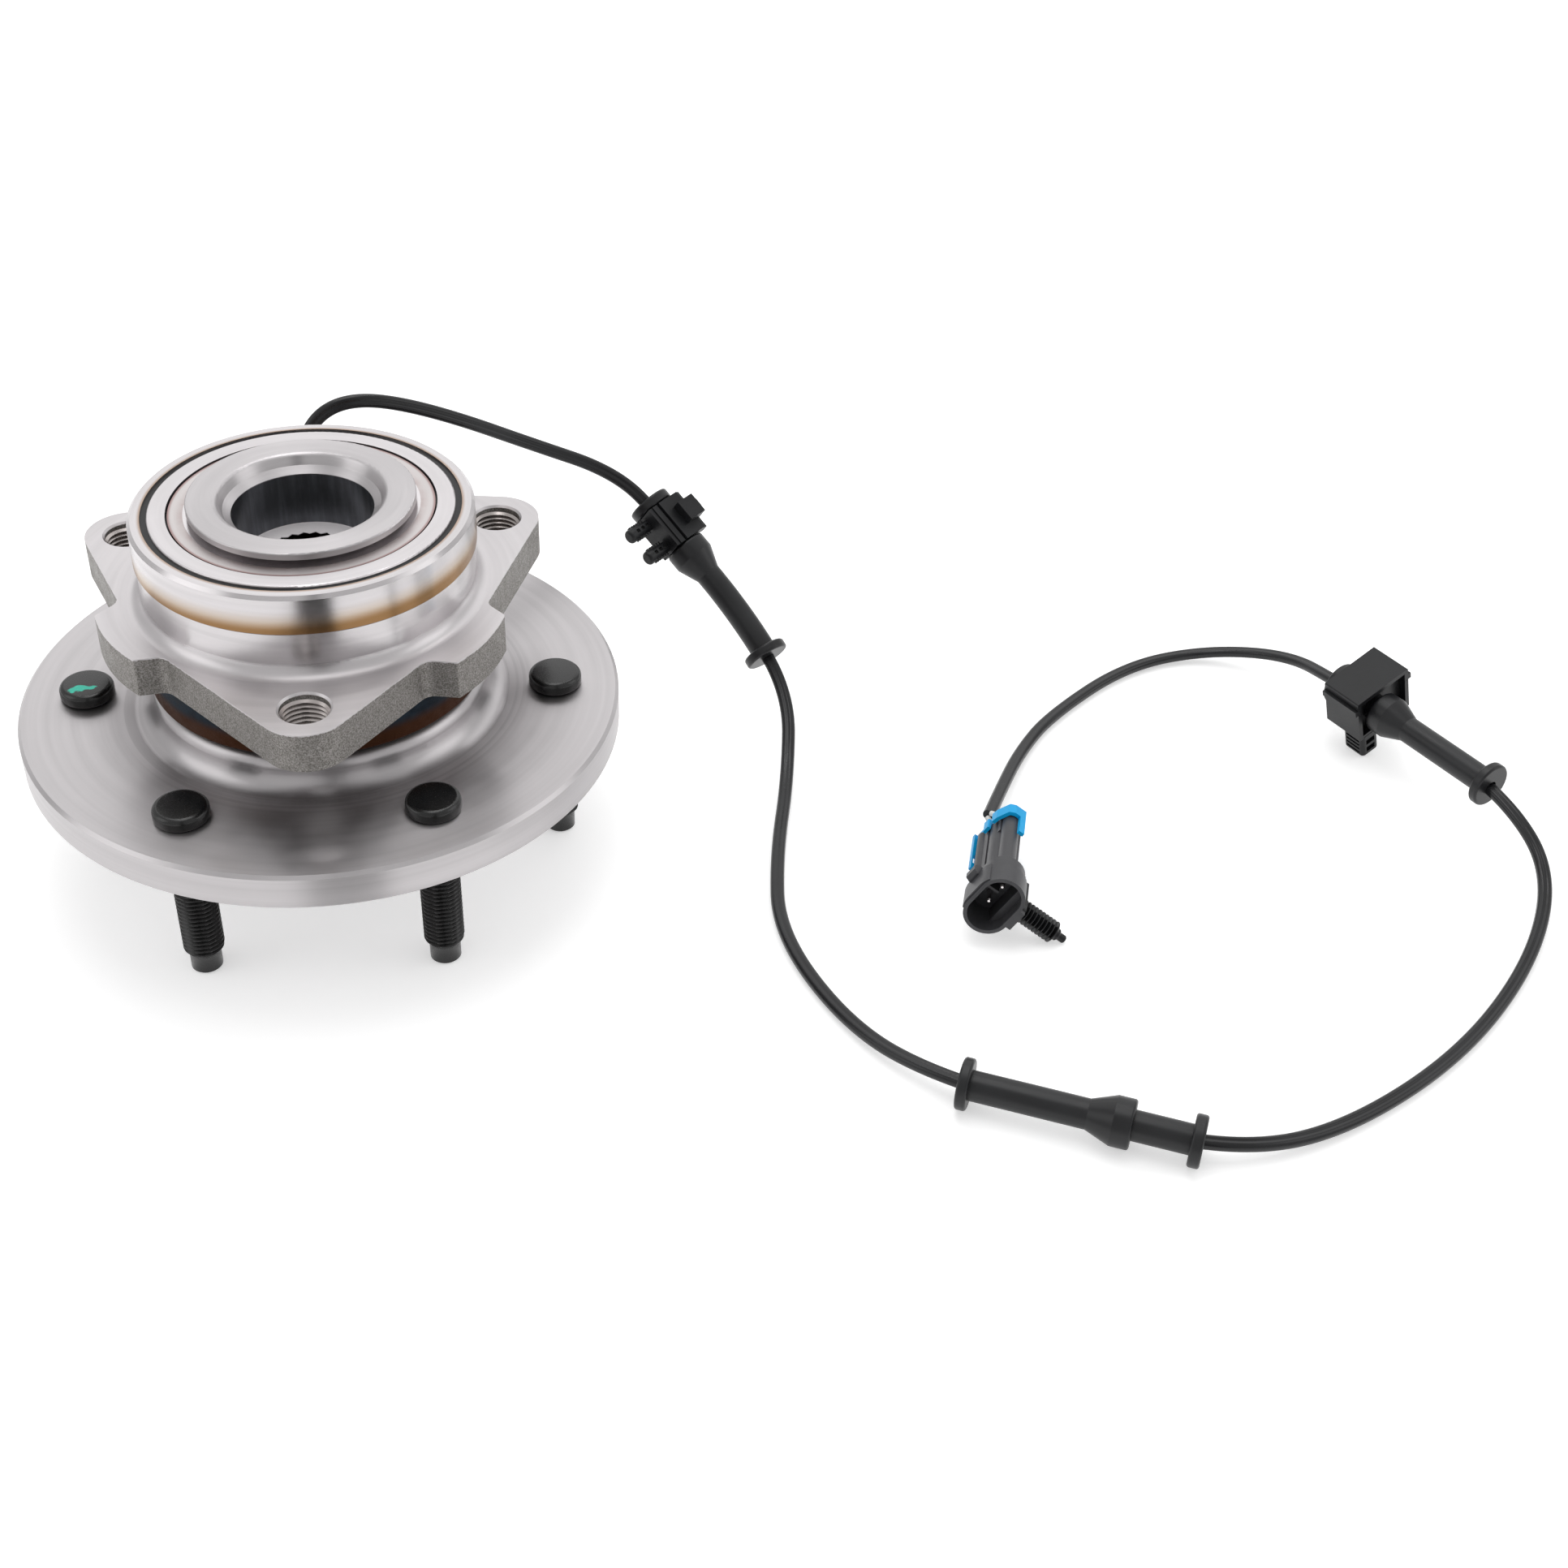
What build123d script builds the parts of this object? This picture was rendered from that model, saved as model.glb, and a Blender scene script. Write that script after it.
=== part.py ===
"""Wheel hub bearing with a wheel speed sensor and its harness, in millimetres.

Frame: the origin is on the spin axis at the wheel mounting face, +Z points inboard,
and one lobe of the knuckle flange lies at -Y.
"""
from build123d import *
import math
import os

os.makedirs("parts", exist_ok=True)

# ---- Wheel hub -----------------------------------------------------------------------
wheel_flange_radius = 89.2
wheel_flange_thick = 11.5
wheel_flange_chamfer = 1.0
hub_boss_radius = 49.7
hub_boss_top = 21.0
hub_boss_rounding = 3.0
hub_boss_fillet = 6.0
hub_step_radius = 36.0
hub_shoulder = 24.0
hub_barrel_radius = 25.0
hub_rest_angle = -2.68

pilot_radius = 38.95
pilot_length = 12.0
pilot_chamfer = 1.5
nut_pocket_radius = 29.5
nut_seat = 4.0
nut_pocket_chamfer = 1.0

axle_bore_radius = 20.2
axle_bore_floor = 57.7
spline_teeth = 27
spline_minor_radius = 13.9
spline_major_radius = 14.9

head_top = 79.0
head_rim_radius = 32.4
head_rim_height = 1.6
head_under_radius = 29.0
head_under_gap = 0.4
head_inner_radius = 24.1
throat_radius = 22.33
throat_depth = 3.0
throat_cone_depth = 1.8

# ---- Wheel studs, M12 x 1.5 ----------------------------------------------------------
stud_count = 6
stud_circle = 139.7
stud_radius = 6.0
stud_knurl_radius = 6.5
stud_head_radius = 8.0
stud_head_height = 4.2
stud_head_rounding = 1.2
stud_tip = -44.6
stud_dog_radius = 4.6
stud_dog_length = 6.3
stud_dog_chamfer = 0.8

# ---- Outer ring and knuckle flange ---------------------------------------------------
ring_bottom = 22.3
ring_top = 75.4
ring_radius = 48.85
ring_skirt_radius = 49.6
ring_waist_radius = 48.25
ring_waist_top = 63.0
ring_chamfer = 1.0
ring_root_fillet = 3.8
ring_under_fillet = 2.5
flange_bottom = 37.6
flange_top = 49.7
lobe_count = 3
lobe_centre = 63.6
lobe_radius = 12.7
lobe_side_angle = 39.0
first_lobe_angle = -90.0
leading_notch_radius = 54.6
leading_notch_angle = 36.5
trailing_notch_radius = 53.0
trailing_notch_angle = -48.0
notch_fillet = 4.0
tab_radius = 60.6
tab_leading_rise = 1.1
tab_leading_angle = 42.0
tab_trailing_drop = 0.7
tab_trailing_angle = 67.5
tab_corner_rounding = 0.8
knuckle_circle = 127.2
knuckle_hole_radius = 7.0
knuckle_hole_chamfer = 0.6

# ---- Tapered rollers and raceways ----------------------------------------------------
rollers_per_row = 20
roller_pitch_radius = 36.3
roller_radius = 4.5
roller_length = 12.6
roller_tilt = 13.5
roller_clearance = 0.28
row_centre_inboard = 62.5
row_centre_outboard = 42.5
cup_reach_large = 5.8
cup_reach_small = 7.6
cup_relief_step = 1.6
cup_land_radius = 39.0
cone_joint = 51.5
cone_small_rib_radius = 31.1
cone_large_rib_radius = 37.0
rib_play = 0.3
cone_small_rib_play = 0.45
cage_mean_radius = 38.4
cage_thick = 1.4
cage_reach_large = 8.6
cage_reach_small = 9.2
cage_window_play = 0.3

# ---- Seals, slingers and tone ring ---------------------------------------------------
seal_seat_wall = 3.65
seal_seat_depth = 4.9
seal_case_inner = 38.2
seal_case_thick = 0.8
seal_case_rounding = 0.5
seal_case_proud = 0.2
seal_wall_depth = 4.2
seal_rubber_recess = 0.5
seal_rubber_depth = 4.8
seal_rubber_band = 1.8
seal_rubber_lining = 0.8
seal_lip_radius = 36.8
seal_lip_thick = 0.7
slinger_thick = 0.8
slinger_rim_play = 0.6
slinger_lip_gap = 0.4
cone_inboard_top = 75.3
slinger_seat_inboard = 33.4
slinger_seat_bottom = 73.0
slinger_seat_outboard = 34.0
slinger_sleeve_length = 3.2
tone_teeth = 48
tone_radius = 41.5
tone_slot_depth = 2.5
tone_slot_width = 2.7
tone_bottom = 27.8
tone_top = 33.0

seal_seat_radius = ring_radius - seal_seat_wall
seal_case_wall_outer = seal_seat_radius - seal_rubber_band
seal_case_wall_inner = seal_case_wall_outer - seal_case_thick
seal_rubber_inner = seal_case_wall_inner - seal_rubber_lining
slinger_rim_radius = seal_case_inner - slinger_rim_play
cup_relief_radius = seal_seat_radius - cup_relief_step

# ---- Speed sensor --------------------------------------------------------------------
sensor_height = 31.4
sensor_hole_radius = 4.1
sensor_nose_play = 0.15
sensor_air_gap = 0.7
sensor_pad_rise = 2.65
sensor_pad_left = 9.0
sensor_pad_right = 19.0
sensor_head_half = 8.0
sensor_head_end = 72.5
sensor_head_bottom = 24.0
sensor_head_top = 36.5
sensor_head_rounding = 1.5
sensor_ear_end = 19.0
sensor_ear_thick = 4.4
sensor_screw_offset = 14.0
sensor_screw_radius = 2.5
sensor_screw_end = 45.0
screw_hole_play = 0.15
screw_flange_radius = 4.9
screw_hex_radius = 4.2
screw_head_height = 4.5
screw_flange_height = 1.0
screw_hole_run = 0.5
sensor_ear_foot = 0.6
sensor_ear_rounding = 4.4
gland_radius = 3.4
gland_top = 40.0
o_ring_section = 0.55
o_ring_play = 0.05

sensor_pad_face = ring_radius + sensor_pad_rise
sensor_nose_end = tone_radius + sensor_air_gap

# ---- Harness -------------------------------------------------------------------------
cable_radius = 2.15
cable_play = 0.15
cable_points = [
    (-6.7, 67.3, 40.0), (-6.7, 67.3, 50.5), (-1.5, 71.2, 62.6), (5.8, 74.3, 67.7),
    (16.0, 76.0, 68.7), (29.4, 80.7, 63.6), (46.7, 85.9, 54.6), (66.8, 93.5, 41.5),
    (96.6, 94.3, 28.2), (111.6, 85.7, 13.9), (135.2, 62.6, -9.1), (150.0, 39.2, -27.4),
    (145.6, 9.3, -41.6), (136.7, -27.8, -42.4), (131.9, -65.7, -42.2),
    (146.9, -108.2, -42.4), (168.0, -134.5, -38.5), (204.0, -154.5, -37.0), (240.0, -170.0, -38.0),
    (274.3, -164.0, -42.3), (321.2, -138.4, -42.4), (359.7, -100.9, -42.4), (378.7, -67.4, -37.5),
    (371.5, -45.5, -26.3), (357.5, -12.0, -24.7), (338.6, 25.5, -26.0), (332.6, 53.8, -34.0),
    (308.3, 70.2, -41.5), (276.3, 64.3, -42.4), (241.6, 36.7, -42.4), (226.4, 17.0, -42.0),
    (214.0, -7.0, -38.6), (206.1, -24.1, -35.0),
]
arc_share = 0.45

grommet_collar_radius = 7.5
grommet_collar_thick = 3.5
grommet_neck_radius = 4.4
grommet_neck_length = 16.0
grommet_bell_radius = 7.15
grommet_bell_length = 5.4
grommet_taper_length = 7.2
grommet_tube_radius = 4.4
grommet_tube_length = 33.0
grommet_end_thick = 3.2
grommet_rounding = 0.8
grommet_tube_ends = {"grommet_1": (142.4, 51.1, -18.0)}
grommet_places = {
    "grommet_1": ((106.9, 90.3, 18.5), (125.7, 71.9, 0.2)),
    "grommet_2": ((234.1, -167.6, -37.0), (172.6, -138.2, -37.0)),
    "grommet_3": ((338.8, 23.9, -25.4), (368.4, -37.6, -25.4)),
}

clip_neck_play = 0.15
clip_end_play = 0.3

pin_clip_side = (-0.769, -0.640, -0.016)
pin_clip_half_width = 7.0
pin_clip_back = 5.4
pin_clip_front = 7.2
pin_clip_base = 5.1
pin_clip_base_thick = 1.6
pin_clip_base_front = 6.0
pin_clip_base_back = 5.0
pin_clip_rail = 1.5
pin_clip_step = 2.4
pin_clip_groove = 0.6
pin_clip_tab_height = 3.4
pin_clip_tab_length = 7.4
pin_clip_tab_width = 7.0
pin_clip_nub = 0.75
pin_clip_rounding = 0.5
push_pin_pitch = 9.4
push_pin_radius = 2.0
push_pin_cap_radius = 2.4
push_pin_length = 9.4
push_pin_cap_length = 2.6
push_pin_window = 1.3
push_pin_barb = 0.8
push_pin_barb_thick = 0.4

box_clip_up = (-0.279, -0.152, 0.948)
box_clip_rise = 0.85
box_clip_shift = -1.9
box_clip_half_width = 11.5
box_clip_half_height = 9.1
box_clip_wall = 1.6
lid_height = 5.2
lid_lip = 1.2
lid_lip_height = 2.2
lid_play = 0.1
box_rib_seat = 0.5
box_pin_side = 6.9
box_pin_along = 3.3
box_pin_length = 9.1
box_pin_width = 7.4
box_pin_breadth = 9.0
box_pin_rounding = 1.5
box_pin_window = 2.2
box_pin_rungs = 4
box_pin_rung_depth = 0.6

connector_rear = (208.7, -32.2, -33.6)
connector_way = (-0.2914, -0.9502, 0.1107)
connector_roll = 57.9
connector_length = 45.6
shroud_long = 21.4
shroud_short = 14.5
shroud_wall = 1.2
shroud_length = 8.6
shroud_depth = 12.5
shroud_ledge = 3.8
shroud_ledge_drop = 5.0
band_rise = 0.6
band_half = 6.6
collar_step = 0.8
collar_length = 14.0
divider_thick = 0.8
divider_reach = 1.0
divider_height = 4.0
terminal_pitch = 6.6
body_web = 2.5
body_web_end = 2.2
body_web_length = 7.0
body_rib = 1.4
main_column_radius = 3.5
main_column_place = (0.2, -1.3)
key_column_radius = 2.8
key_column_place = (0.4, 3.5)
side_column_radius = 2.0
side_column_place = (-2.2, -7.2)
key_reach = 3.6
key_side = 4.9
wire_seal_radius = 2.0
wire_seal_length = 6.0
wire_radius = 0.9
wire_play = 0.1
wire_gap = 0.6
terminal_radius = 0.75
terminal_recess = 6.7
terminal_root = 8.0
latch_half = 2.1
latch_centre = -0.2
latch_rise = 2.4
latch_length = 4.5
latch_start = 33.2
rail_height = 0.6
rail_half_width = 3.6
rail_start = 25.5
rail_stop_rise = 1.0
rail_stop_length = 1.6
fir_base_thick = 1.2
fir_base_half = 3.9
fir_base_length = 16.0
fir_base_rounding = 1.0
fir_place = 38.0
fir_core_radius = 2.0
fir_fin_radius = 3.6
fir_fin_edge = 0.35
fir_fin_root = 0.7
fir_fin_rake = 0.6
fir_fin_count = 10
fir_fin_pitch = 1.35
fir_neck = 0.9
fir_tip_radius = 1.3
fir_tip_length = 3.0
lock_thick = 1.2
lock_gap = 0.15
lock_back = 2.4
lock_window_latch = 3.0
lock_window_rail = 1.9
lock_band = [(-4.2, 0.2), (-3.95, 2.3), (-2.3, 6.4), (-0.8, 7.15), (3.0, 7.15)]
lock_arm_start = 1.0
lock_arm_length = 11.0
lock_cover_length = 2.8
lock_cover_end = -1.8
lock_leg_length = 17.0
lock_loop_start = 9.5
lock_loop_end = 14.0
lock_leg_half = 1.1
lock_rounding = 0.5


# ---- Shared helpers ------------------------------------------------------------------
def turned(*corners):
    """Solid turned about +Z; each corner is (radius, height) or (radius, height, rounding)."""
    points = [(corner[0], 0, corner[1]) for corner in corners]
    roundings = [corner[2] if len(corner) == 3 else 0 for corner in corners]
    outline = FilletPolyline(*points, radius=roundings, close=True)
    return revolve(make_face(outline), Axis.Z)


def block(low, high):
    """Box between two opposite corners."""
    size = [b - a for a, b in zip(low, high)]
    centre = [(a + b) / 2 for a, b in zip(low, high)]
    return Pos(*centre) * Box(*size)


def rod(start, end, radius):
    """Round bar from start to end."""
    start = Vector(*start)
    way = Vector(*end) - start
    return Plane(origin=start, z_dir=way) * Cylinder(
        radius, way.length, align=(Align.CENTER, Align.CENTER, Align.MIN)
    )


def frame_along(start, end, side):
    """Frame at start with Z towards end and X as near as it can be to side."""
    start = Vector(*start)
    way = (Vector(*end) - start).normalized()
    side = Vector(*side)
    return Plane(origin=start, x_dir=side - way * side.dot(way), z_dir=way)


def polar(radius, angle, z=0.0):
    """Point at a radius and an angle about +Z."""
    turn = math.radians(angle)
    return (radius * math.cos(turn), radius * math.sin(turn), z)


def save(node, *solids):
    """Write one node, made of one or more separate solids."""
    shape = solids[0] if len(solids) == 1 else Compound(children=list(solids))
    shape.label = node
    export_step(shape, f"parts/{node}.step")
    return shape


# ---- Wheel hub and studs -------------------------------------------------------------
def wheel_hub():
    rim_underside = head_top - head_rim_height
    body = turned(
        (nut_pocket_radius + nut_pocket_chamfer, -pilot_length),
        (pilot_radius - pilot_chamfer, -pilot_length),
        (pilot_radius, -pilot_length + pilot_chamfer),
        (pilot_radius, 0),
        (wheel_flange_radius - wheel_flange_chamfer, 0),
        (wheel_flange_radius, wheel_flange_chamfer),
        (wheel_flange_radius, wheel_flange_thick - wheel_flange_chamfer),
        (wheel_flange_radius - wheel_flange_chamfer, wheel_flange_thick),
        (hub_boss_radius, wheel_flange_thick, hub_boss_fillet),
        (hub_boss_radius, hub_boss_top, hub_boss_rounding),
        (hub_step_radius, hub_boss_top),
        (hub_step_radius, hub_shoulder),
        (hub_barrel_radius, hub_shoulder),
        (hub_barrel_radius, cone_inboard_top),
        (head_under_radius, cone_inboard_top),
        (head_rim_radius, rim_underside - head_under_gap),
        (head_rim_radius, head_top, head_under_gap),
        (head_inner_radius, head_top, head_rim_height),
        (throat_radius, head_top - throat_depth),
        (axle_bore_radius, head_top - throat_depth - throat_cone_depth),
        (axle_bore_radius, axle_bore_floor),
        (spline_minor_radius, axle_bore_floor),
        (spline_minor_radius, nut_seat),
        (nut_pocket_radius, nut_seat),
        (nut_pocket_radius, -pilot_length + nut_pocket_chamfer),
    )
    length = axle_bore_floor - nut_seat
    for place in range(stud_count):
        body -= rod(stud_point(place, 0), stud_point(place, wheel_flange_thick), stud_knurl_radius)
    body -= Pos(0, 0, nut_seat) * extrude(spline_section(), length)
    return Rot(0, 0, hub_rest_angle) * body


def spline_section():
    """Ring of V grooves between the minor and the major radius."""
    step = 360 / spline_teeth
    corners = []
    for tooth in range(spline_teeth):
        corners.append(polar(spline_minor_radius, tooth * step))
        corners.append(polar(spline_major_radius, (tooth + 0.5) * step))
    return make_face(Polyline(*corners, close=True))


def stud_point(place, z):
    return polar(stud_circle / 2, place * 360 / stud_count, z)


def wheel_stud():
    """One pressed-in stud: head inboard, knurl in the flange, thread and dog point outboard."""
    dog_start = stud_tip + stud_dog_length
    return turned(
        (0, stud_tip),
        (stud_dog_radius - stud_dog_chamfer, stud_tip),
        (stud_dog_radius, stud_tip + stud_dog_chamfer),
        (stud_dog_radius, dog_start),
        (stud_radius, dog_start + stud_radius - stud_dog_radius),
        (stud_radius, 0),
        (stud_knurl_radius, 0),
        (stud_knurl_radius, wheel_flange_thick),
        (stud_head_radius, wheel_flange_thick),
        (stud_head_radius, wheel_flange_thick + stud_head_height, stud_head_rounding),
        (0, wheel_flange_thick + stud_head_height),
    )


def wheel_studs():
    stud = wheel_stud()
    turn = Rot(0, 0, hub_rest_angle)
    return [turn * Pos(*stud_point(place, 0)) * stud for place in range(stud_count)]


# ---- Rollers, cages and inner rings --------------------------------------------------
# A row is placed by its centre height and by side, +1 where the large ends face inboard.
roller_taper = math.asin(roller_radius * math.sin(math.radians(roller_tilt)) / roller_pitch_radius)
cup_angle = math.radians(roller_tilt) + roller_taper
cone_angle = math.radians(roller_tilt) - roller_taper


def cup_radius(offset):
    """Outer raceway radius at an axial offset from the row's centre, towards the large ends."""
    middle = roller_pitch_radius + (roller_radius + roller_clearance) / math.cos(cup_angle)
    return middle + offset * math.tan(cup_angle)


def cone_radius(offset):
    """Inner raceway radius at an axial offset from the row's centre, towards the large ends."""
    middle = roller_pitch_radius - (roller_radius + roller_clearance) / math.cos(cone_angle)
    return middle + offset * math.tan(cone_angle)


def roller_end(reach, inward):
    """Radius and axial offset of the inner corner of a roller's end, at reach along its axis."""
    tilt = math.radians(roller_tilt)
    end_radius = roller_radius + reach * math.tan(roller_taper)
    radius = roller_pitch_radius + reach * math.sin(tilt) - inward * end_radius * math.cos(tilt)
    offset = reach * math.cos(tilt) + inward * end_radius * math.sin(tilt)
    return radius, offset


def roller_frame(place, row_centre, side):
    """Frame of one roller: Z along its axis to the large end, X away from the spin axis."""
    tilt = math.radians(roller_tilt)
    angle = (place + 0.5) * 360 / rollers_per_row
    way = Vector(*polar(math.sin(tilt), angle, side * math.cos(tilt)))
    outward = Vector(*polar(math.cos(tilt), angle, -side * math.sin(tilt)))
    return Plane(origin=polar(roller_pitch_radius, angle, row_centre), x_dir=outward, z_dir=way)


def rollers(row_centre, side):
    half = roller_length / 2
    small = roller_radius - half * math.tan(roller_taper)
    large = roller_radius + half * math.tan(roller_taper)
    roller = Cone(small, large, roller_length)
    return [roller_frame(place, row_centre, side) * roller for place in range(rollers_per_row)]


def cage(row_centre, side):
    """Conical window cage that keeps the rollers of one row apart."""
    slope = math.tan(math.radians(roller_tilt))
    half = cage_thick / 2 / math.cos(math.radians(roller_tilt))
    large = cage_mean_radius + cage_reach_large * slope
    small = cage_mean_radius - cage_reach_small * slope
    shell = turned(
        (large - half, row_centre + side * cage_reach_large),
        (large + half, row_centre + side * cage_reach_large),
        (small + half, row_centre - side * cage_reach_small),
        (small - half, row_centre - side * cage_reach_small),
    )
    window = cage_window()
    for place in range(rollers_per_row):
        shell -= roller_frame(place, row_centre, side) * window
    return shell


def cage_window():
    """Tapered prism that clears one roller, in the roller's own frame."""
    reach = roller_length / 2 + cage_window_play
    small = roller_radius - reach * math.tan(roller_taper)
    large = roller_radius + reach * math.tan(roller_taper)
    outline = Polyline(
        (0, -small, -reach), (0, small, -reach), (0, large, reach), (0, -large, reach), close=True
    )
    return extrude(make_face(outline), roller_radius, dir=(1, 0, 0))


def inner_ring_inboard():
    raceway_end, large_offset = roller_end(roller_length / 2, 1)
    rib_face = row_centre_inboard + large_offset + rib_play
    rib_slope = (cone_large_rib_radius - raceway_end) * math.tan(math.radians(roller_tilt))
    small_offset = roller_end(-roller_length / 2, 1)[1] - cone_small_rib_play
    return turned(
        (hub_barrel_radius, cone_joint),
        (cone_small_rib_radius, cone_joint),
        (cone_small_rib_radius, row_centre_inboard + small_offset),
        (cone_radius(small_offset), row_centre_inboard + small_offset),
        (cone_radius(large_offset + rib_play), rib_face),
        (cone_large_rib_radius, rib_face - rib_slope),
        (cone_large_rib_radius, slinger_seat_bottom),
        (slinger_seat_inboard, slinger_seat_bottom),
        (slinger_seat_inboard, cone_inboard_top),
        (hub_barrel_radius, cone_inboard_top),
    )


def inner_ring_outboard():
    raceway_end, large_offset = roller_end(roller_length / 2, 1)
    rib_face = row_centre_outboard - large_offset - rib_play
    rib_slope = (cone_large_rib_radius - raceway_end) * math.tan(math.radians(roller_tilt))
    small_offset = roller_end(-roller_length / 2, 1)[1] - cone_small_rib_play
    return turned(
        (hub_barrel_radius, hub_shoulder),
        (slinger_seat_outboard, hub_shoulder),
        (slinger_seat_outboard, tone_top),
        (cone_large_rib_radius, tone_top),
        (cone_large_rib_radius, rib_face + rib_slope),
        (cone_radius(large_offset + rib_play), rib_face),
        (cone_radius(small_offset), row_centre_outboard - small_offset),
        (cone_small_rib_radius, row_centre_outboard - small_offset),
        (cone_small_rib_radius, cone_joint),
        (hub_barrel_radius, cone_joint),
    )


# ---- Outer ring ----------------------------------------------------------------------
def flange_outline():
    """Three lobes with a raised tab between each pair, as one closed outline."""
    apex = lobe_centre + lobe_radius / math.sin(math.radians(lobe_side_angle))
    tab_middle = (tab_leading_angle + tab_trailing_angle) / 2
    half_tab = math.radians(tab_trailing_angle - tab_middle)
    spacing = 360 / lobe_count
    corners = []
    roundings = []
    for lobe in range(lobe_count):
        middle = first_lobe_angle + lobe * spacing
        corners += [
            polar(apex, middle),
            polar(leading_notch_radius, middle + leading_notch_angle),
            polar(tab_radius + tab_leading_rise, middle + tab_leading_angle),
            polar(tab_radius / math.cos(half_tab), middle + tab_middle),
            polar(tab_radius - tab_trailing_drop, middle + tab_trailing_angle),
            polar(trailing_notch_radius, middle + spacing + trailing_notch_angle),
        ]
        roundings += [
            lobe_radius, notch_fillet, tab_corner_rounding,
            tab_radius * 0.8, tab_corner_rounding, notch_fillet,
        ]
    return make_face(FilletPolyline(*corners, radius=roundings, close=True))


def outer_ring():
    cup_large = cup_radius(cup_reach_large)
    cup_small = cup_radius(-cup_reach_small)
    fillet_reach = ring_root_fillet + 0.1
    under_reach = ring_under_fillet + 0.1
    inside_flange = (flange_bottom + flange_top) / 2
    body = turned(
        (ring_skirt_radius - ring_chamfer, ring_bottom),
        (ring_skirt_radius, ring_bottom + ring_chamfer),
        (ring_skirt_radius, flange_bottom, ring_under_fillet),
        (ring_skirt_radius + under_reach, flange_bottom),
        (ring_skirt_radius + under_reach, inside_flange),
        (ring_waist_radius + fillet_reach, inside_flange),
        (ring_waist_radius + fillet_reach, flange_top),
        (ring_waist_radius, flange_top, ring_root_fillet),
        (ring_waist_radius, ring_waist_top),
        (ring_radius, ring_waist_top + ring_radius - ring_waist_radius),
        (ring_radius, ring_top - ring_chamfer),
        (ring_radius - ring_chamfer, ring_top),
        (seal_seat_radius, ring_top),
        (seal_seat_radius, ring_top - seal_seat_depth),
        (cup_relief_radius, ring_top - seal_seat_depth),
        (cup_relief_radius, row_centre_inboard + cup_reach_large),
        (cup_large, row_centre_inboard + cup_reach_large),
        (cup_small, row_centre_inboard - cup_reach_small),
        (cup_land_radius, row_centre_inboard - cup_reach_small),
        (cup_land_radius, row_centre_outboard + cup_reach_small),
        (cup_small, row_centre_outboard + cup_reach_small),
        (cup_large, row_centre_outboard - cup_reach_large),
        (cup_relief_radius, row_centre_outboard - cup_reach_large),
        (cup_relief_radius, ring_bottom + seal_seat_depth),
        (seal_seat_radius, ring_bottom + seal_seat_depth),
        (seal_seat_radius, ring_bottom),
    )
    plate = Pos(0, 0, flange_bottom) * extrude(flange_outline(), flange_top - flange_bottom)
    plate -= rod((0, 0, flange_bottom - 1), (0, 0, flange_top + 1), ring_waist_radius - 1)
    body += plate
    hole = knuckle_hole()
    for lobe in range(lobe_count):
        angle = first_lobe_angle + lobe * 360 / lobe_count
        body -= Pos(*polar(knuckle_circle / 2, angle)) * hole
    pad = block(
        (-sensor_pad_left, seal_seat_radius + 1, ring_bottom + ring_chamfer),
        (sensor_pad_right, sensor_pad_face, inside_flange),
    )
    body += sensor_frame() * pad
    nose_hole = rod((0, 0, sensor_height), (0, sensor_head_end, sensor_height), sensor_hole_radius)
    screw_hole = rod(
        (sensor_screw_offset, sensor_screw_end - screw_hole_run, sensor_height),
        (sensor_screw_offset, sensor_head_end, sensor_height),
        sensor_screw_radius + screw_hole_play,
    )
    return body - sensor_frame() * nose_hole - sensor_frame() * screw_hole


def knuckle_hole():
    """Bolt hole at its thread's major radius, chamfered at both mouths."""
    wide = knuckle_hole_radius + knuckle_hole_chamfer
    return turned(
        (0, flange_bottom),
        (wide, flange_bottom),
        (knuckle_hole_radius, flange_bottom + knuckle_hole_chamfer),
        (knuckle_hole_radius, flange_top - knuckle_hole_chamfer),
        (wide, flange_top),
        (0, flange_top),
    )


# ---- Seals, slingers and tone ring ---------------------------------------------------
# A seal is placed by the ring face that it sits in and by side, +1 at the inboard face.
def seal_case(face, side):
    plate = face + side * seal_case_proud
    return turned(
        (seal_case_inner, plate),
        (seal_case_wall_outer, plate, seal_case_rounding),
        (seal_case_wall_outer, face - side * seal_wall_depth),
        (seal_case_wall_inner, face - side * seal_wall_depth),
        (seal_case_wall_inner, plate - side * seal_case_thick),
        (seal_case_inner, plate - side * seal_case_thick),
    )


def seal_rubber(face, side, lip_depth):
    """Rubber bonded round the case, with a lip that stops short of the slinger."""
    under = seal_case_thick - seal_case_proud
    lip_root = seal_case_inner + seal_lip_thick

    def at(radius, depth):
        return (radius, face - side * depth)

    return turned(
        at(seal_case_wall_outer, seal_rubber_recess),
        at(seal_seat_radius, seal_rubber_recess),
        at(seal_seat_radius, seal_rubber_depth),
        at(seal_rubber_inner, seal_rubber_depth),
        at(seal_rubber_inner, under + seal_lip_thick),
        at(lip_root + seal_lip_thick, under + seal_lip_thick),
        at(lip_root, lip_depth + seal_lip_thick),
        at(seal_lip_radius, lip_depth + seal_lip_thick),
        at(seal_lip_radius, lip_depth),
        at(seal_case_inner, lip_depth),
        at(seal_case_inner, under),
        at(seal_case_wall_inner, under),
        at(seal_case_wall_inner, seal_wall_depth),
        at(seal_case_wall_outer, seal_wall_depth),
    )


def slinger_inboard():
    sleeve = slinger_seat_inboard + slinger_thick
    return turned(
        (slinger_seat_inboard, slinger_seat_bottom),
        (sleeve, slinger_seat_bottom),
        (sleeve, cone_inboard_top - slinger_thick),
        (slinger_rim_radius, cone_inboard_top - slinger_thick),
        (slinger_rim_radius, cone_inboard_top),
        (slinger_seat_inboard, cone_inboard_top),
    )


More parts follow.
